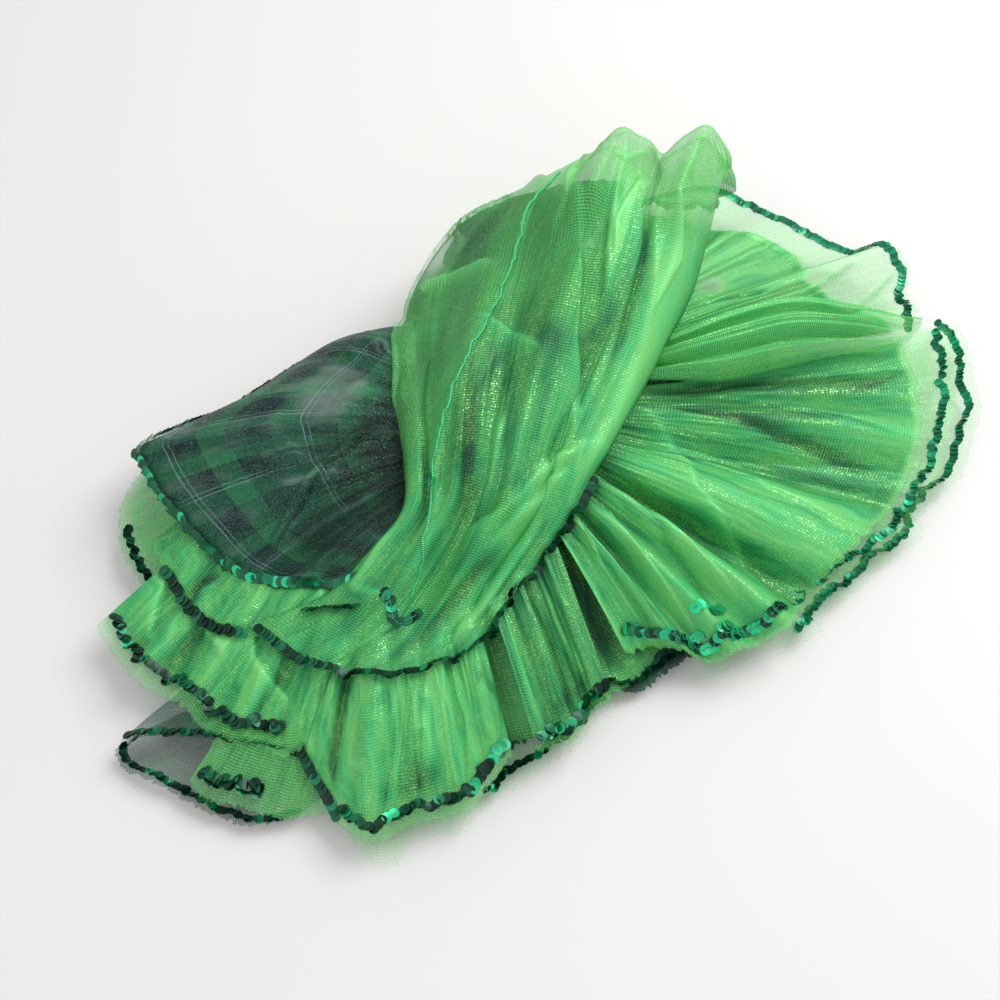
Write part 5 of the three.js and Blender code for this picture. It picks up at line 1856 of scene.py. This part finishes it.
    def build(self) -> None:
        """Lays the bulge and the wrap, with the sequins on its edges and the teal seam."""
        self.lay(self.bulge)
        wrap = self.lay(self.wrap)
        foot = tuple((u, self.foot_inset) for u in np.linspace(0.03, 0.97, 12))
        self.trim(
            SequinString("wrap_foot_sequins", shine=0.08, lean=(20, 20), size=5.0, neat=0.7, shade=0.15),
            sewn_line(wrap, foot),
        )
        self.edge(
            wrap, (0.03, 0.97), 2, "wrap_hem_sequins",
            shine=0.04, lean=(-10, -60), size=5.0, neat=0.8,
        )
        self.trim(
            SequinString("wrap_side_sequins", shine=0.0, lean=(-70, -74), size=5.0, neat=0.8),
            sewn_line(
                wrap,
                (
                    (0.995, 0.985), (0.995, 0.93), (0.995, 0.87), (0.995, 0.81), (0.995, 0.75),
                    (0.995, 0.7),
                ),
            ),
        )
        self.trim(
            SequinString("wrap_tip_sequins", shine=0.35),
            sewn_line(
                wrap,
                (
                    (0.25, 0.879), (0.3, 0.884), (0.356, 0.897), (0.41, 0.9), (0.46, 0.893),
                    (0.49, 0.882),
                ),
            ),
        )
        self.trim(
            SequinString(
                "wrap_inner_sequins", shine=0.0, lean=(-50, -50), size=4.6, neat=0.8, thread=False
            ),
            sewn_line(wrap, ((0.03, 0.945), (0.073, 0.929), (0.12, 0.915), (0.178, 0.904))),
        )
        self.trim(
            SequinString("wrap_spangles", shine=1.0),
            sewn_line(wrap, ((0.16, 0.712), (0.17, 0.72), (0.175, 0.73))),
        )
        seam = Thread("wrap_seam", radius=0.75, lift=0.4, wander=0.9)
        self.pieces.append(seam.sew(sewn_line(wrap, self.seam), self.wardrobe.teal))


@dataclass
class WaistGathers(Assembly):
    """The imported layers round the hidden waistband, under everything that shows.

    Attributes:
        middle: Where its spokes start.
        height: Its height where nothing presses on it.
        reaches: How far it reaches at equal bearings, from +X round.
        rings: Rings of points from its middle to its rim.
        spokes: Points in each ring.
        layers: The layers of cloth that show as steps in it.
        pleats: The pleats round it.
        pleat_depth: Half their depth at the rim.
        clearance: How far it stays below the cloth on it.
        thinnest: Its least height.
        girth: The length of cloth round it, for its weave.
    """

    middle: tuple[float, float] = (-18, 6)
    height: float = 92.0
    reaches: tuple[float, ...] = (158, 150, 128, 132, 112, 118, 142, 150, 150, 132, 112, 128)
    rings: int = 84
    spokes: int = 240
    layers: int = 6
    pleats: int = 60
    pleat_depth: float = 1.6
    clearance: float = 1.2
    thinnest: float = 0.4
    girth: float = 600.0

    def build(self) -> None:
        """Makes a pleated dome with a flat underside, pressed down to clear the cloth on it.

        A point lies at its share of the reach from the middle. Its height is the least of a rounded
        dome, which falls in a step at the edge of each layer, and the lowest cloth above it. Radial
        pleats are cut into it.
        """
        share, turn = np.meshgrid(
            np.linspace(0, 1, self.rings), np.arange(self.spokes) / self.spokes, indexing="ij"
        )
        reach = read_smooth([*self.reaches, self.reaches[0]], turn)
        wave = np.sin(2 * math.pi * 7 * turn)
        wave = wave + 0.7 * np.sin(2 * math.pi * 17 * turn + 1)
        wave = wave + 0.5 * np.cos(2 * math.pi * 29 * turn)
        x = self.middle[0] + reach * share * np.cos(2 * math.pi * turn)
        y = self.middle[1] + reach * share * np.sin(2 * math.pi * turn)
        ceiling = self.heap.ceiling
        for _ in range(3):
            ceiling = self.heap.spread(ceiling, np.minimum)
        pressed = ceiling[self.heap.cells(np.stack([x, y], -1))] - self.clearance
        level = share * self.layers + 0.12 * wave * share * (1 - share)
        part = level % 1
        stepped = (np.floor(level) + 0.25 * part + 0.75 * soft_step(part, 0.7, 1.0)) / self.layers
        dome = self.height * np.sqrt(np.maximum(0.0004, 1 - np.clip(stepped, 0, 1) ** 3))
        pleats = self.pleat_depth * share * (np.cos(2 * math.pi * self.pleats * turn + 1.5 * wave) - 1)
        z = np.maximum(np.minimum(dome, pressed) + pleats, self.thinnest)
        z[0] = z[0].mean()
        top = np.stack([x, y, z], -1)
        steps = np.linalg.norm(np.diff(top, axis=0), axis=2)
        down = np.vstack([np.zeros((1, self.spokes)), np.cumsum(steps, 0)])
        points = np.concatenate([top[:1, :1].reshape(-1, 3), top[1:].reshape(-1, 3)])
        rim = np.stack([x[-1], y[-1], np.zeros(self.spokes)], -1)
        points = np.concatenate([points, rim, [[*self.middle, 0.0]]])
        first = 1 + np.arange(self.spokes)
        faces = [np.stack([np.zeros(self.spokes, int), first, np.roll(first, -1)], -1)]
        for k in range(self.rings - 1):
            inner, outer = first + k * self.spokes, first + (k + 1) * self.spokes
            faces.append(np.stack([inner, outer, np.roll(outer, -1)], -1))
            faces.append(np.stack([inner, np.roll(outer, -1), np.roll(inner, -1)], -1))
        last = first + (self.rings - 1) * self.spokes
        faces.append(np.stack([np.full(self.spokes, len(points) - 1), np.roll(last, -1), last], -1))
        faces = np.concatenate(faces)
        round_it = np.r_[0, (turn[1:] * self.girth).ravel(), turn[0] * self.girth, 0]
        places = np.stack([round_it, np.r_[0, down[1:].ravel(), down[-1], 0]], -1)
        # Painted shade: dark under the cloth that lies on it, lighter towards the rim, darker where it
        # falls at each step and in the pleats, darkest underneath.
        tone = 0.16 + 0.3 * (1 - part) * share + 0.06 * pleats
        numbers = {
            "cover": np.full(len(points), 1.0),
            "tone": np.r_[0.2, tone[1:].ravel(), np.full(self.spokes + 1, 0.1)],
        }
        cloth = self.wardrobe.cloths[Weave.GREEN]
        piece = piece_from("waist_gathers", points, faces, cloth, numbers, places)
        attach(piece, "root")
        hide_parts("hidden_gathers")
        self.pieces.append(piece)


# ---- the studio ---------------------------------------------------------------------------------


@dataclass(frozen=True)
class Studio:
    """The pale table, the camera over it and the soft light from the upper right.

    Attributes:
        target: What the camera points at.
        distance: How far from there it stands.
        elevation: How steeply it looks down, in degrees.
        lens: Its focal length.
        half_table: Half the table's width.
        table_top: The table's height, a little under the cloth.
        sky: The strength of the even light from all round.
    """

    target: tuple[float, float, float] = (-34, -16, 25)
    distance: float = 694.0
    elevation: float = 60.0
    lens: float = 50.0
    half_table: float = 4000.0
    table_top: float = -0.4
    sky: float = 0.64

    def build(self, wardrobe: Wardrobe) -> None:
        """Places the table, the camera and the lights."""
        far, top = self.half_table, self.table_top
        corners = np.array([[-far, -far, top], [far, -far, top], [far, far, top], [-far, far, top]])
        piece_from("table", corners, np.array([[0, 1, 2, 3]]), wardrobe.table)
        camera = bpy.data.objects.new("camera", bpy.data.cameras.new("camera"))
        tilt = math.radians(self.elevation)
        back = Vector((0, -math.cos(tilt), math.sin(tilt)))
        camera.location = (Vector(self.target) + back * self.distance) * MM
        camera.rotation_euler = (math.radians(90 - self.elevation), 0, 0)
        camera.data.lens, camera.data.clip_start = self.lens, 0.01
        bpy.context.scene.collection.objects.link(camera)
        bpy.context.scene.camera = camera
        self.lamp("key", place=(0.75, 0.55, 1.15), size=0.9, power=15.0)
        self.lamp("fill", place=(-0.7, -0.9, 1.1), size=1.4, power=4.0)
        world = bpy.data.worlds.new("world")
        world.use_nodes = True
        world.node_tree.nodes["Background"].inputs[0].default_value = (1, 1, 1, 1)
        world.node_tree.nodes["Background"].inputs[1].default_value = self.sky
        bpy.context.scene.world = world
        bpy.context.scene.view_settings.view_transform = "Standard"
        bpy.context.scene.cycles.transparent_max_bounces = 20

    def lamp(self, name: str, place: tuple[float, float, float], size: float, power: float) -> None:
        """Hangs a square soft light, its place and size in metres, that points at the heap."""
        lamp = bpy.data.objects.new(name, bpy.data.lights.new(name, "AREA"))
        lamp.data.size, lamp.data.energy = size, power
        lamp.location = place
        lamp.rotation_euler = Vector(place).to_track_quat("Z", "Y").to_euler()
        bpy.context.scene.collection.objects.link(lamp)


# ---- the skirt ----------------------------------------------------------------------------------


def main() -> None:
    """Lays the skirt from its lowest sheet up, trims it and lights it."""
    logging.basicConfig(level=logging.INFO, format="%(name)s: %(message)s")
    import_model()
    heap, wardrobe = Heap(), Wardrobe()
    order = Corner, FrontPleats, RightFan, LeftTiers, BackFlounce, TartanFlare, TopWrap, WaistGathers
    for assembly in order:
        made = assembly(heap, wardrobe)
        made.build()
        for piece in made.pieces:
            log.info("%s: %s, %d faces", assembly.__name__, piece.name, len(piece.data.polygons))
    Studio().build(wardrobe)


if __name__ == "__main__":
    main()
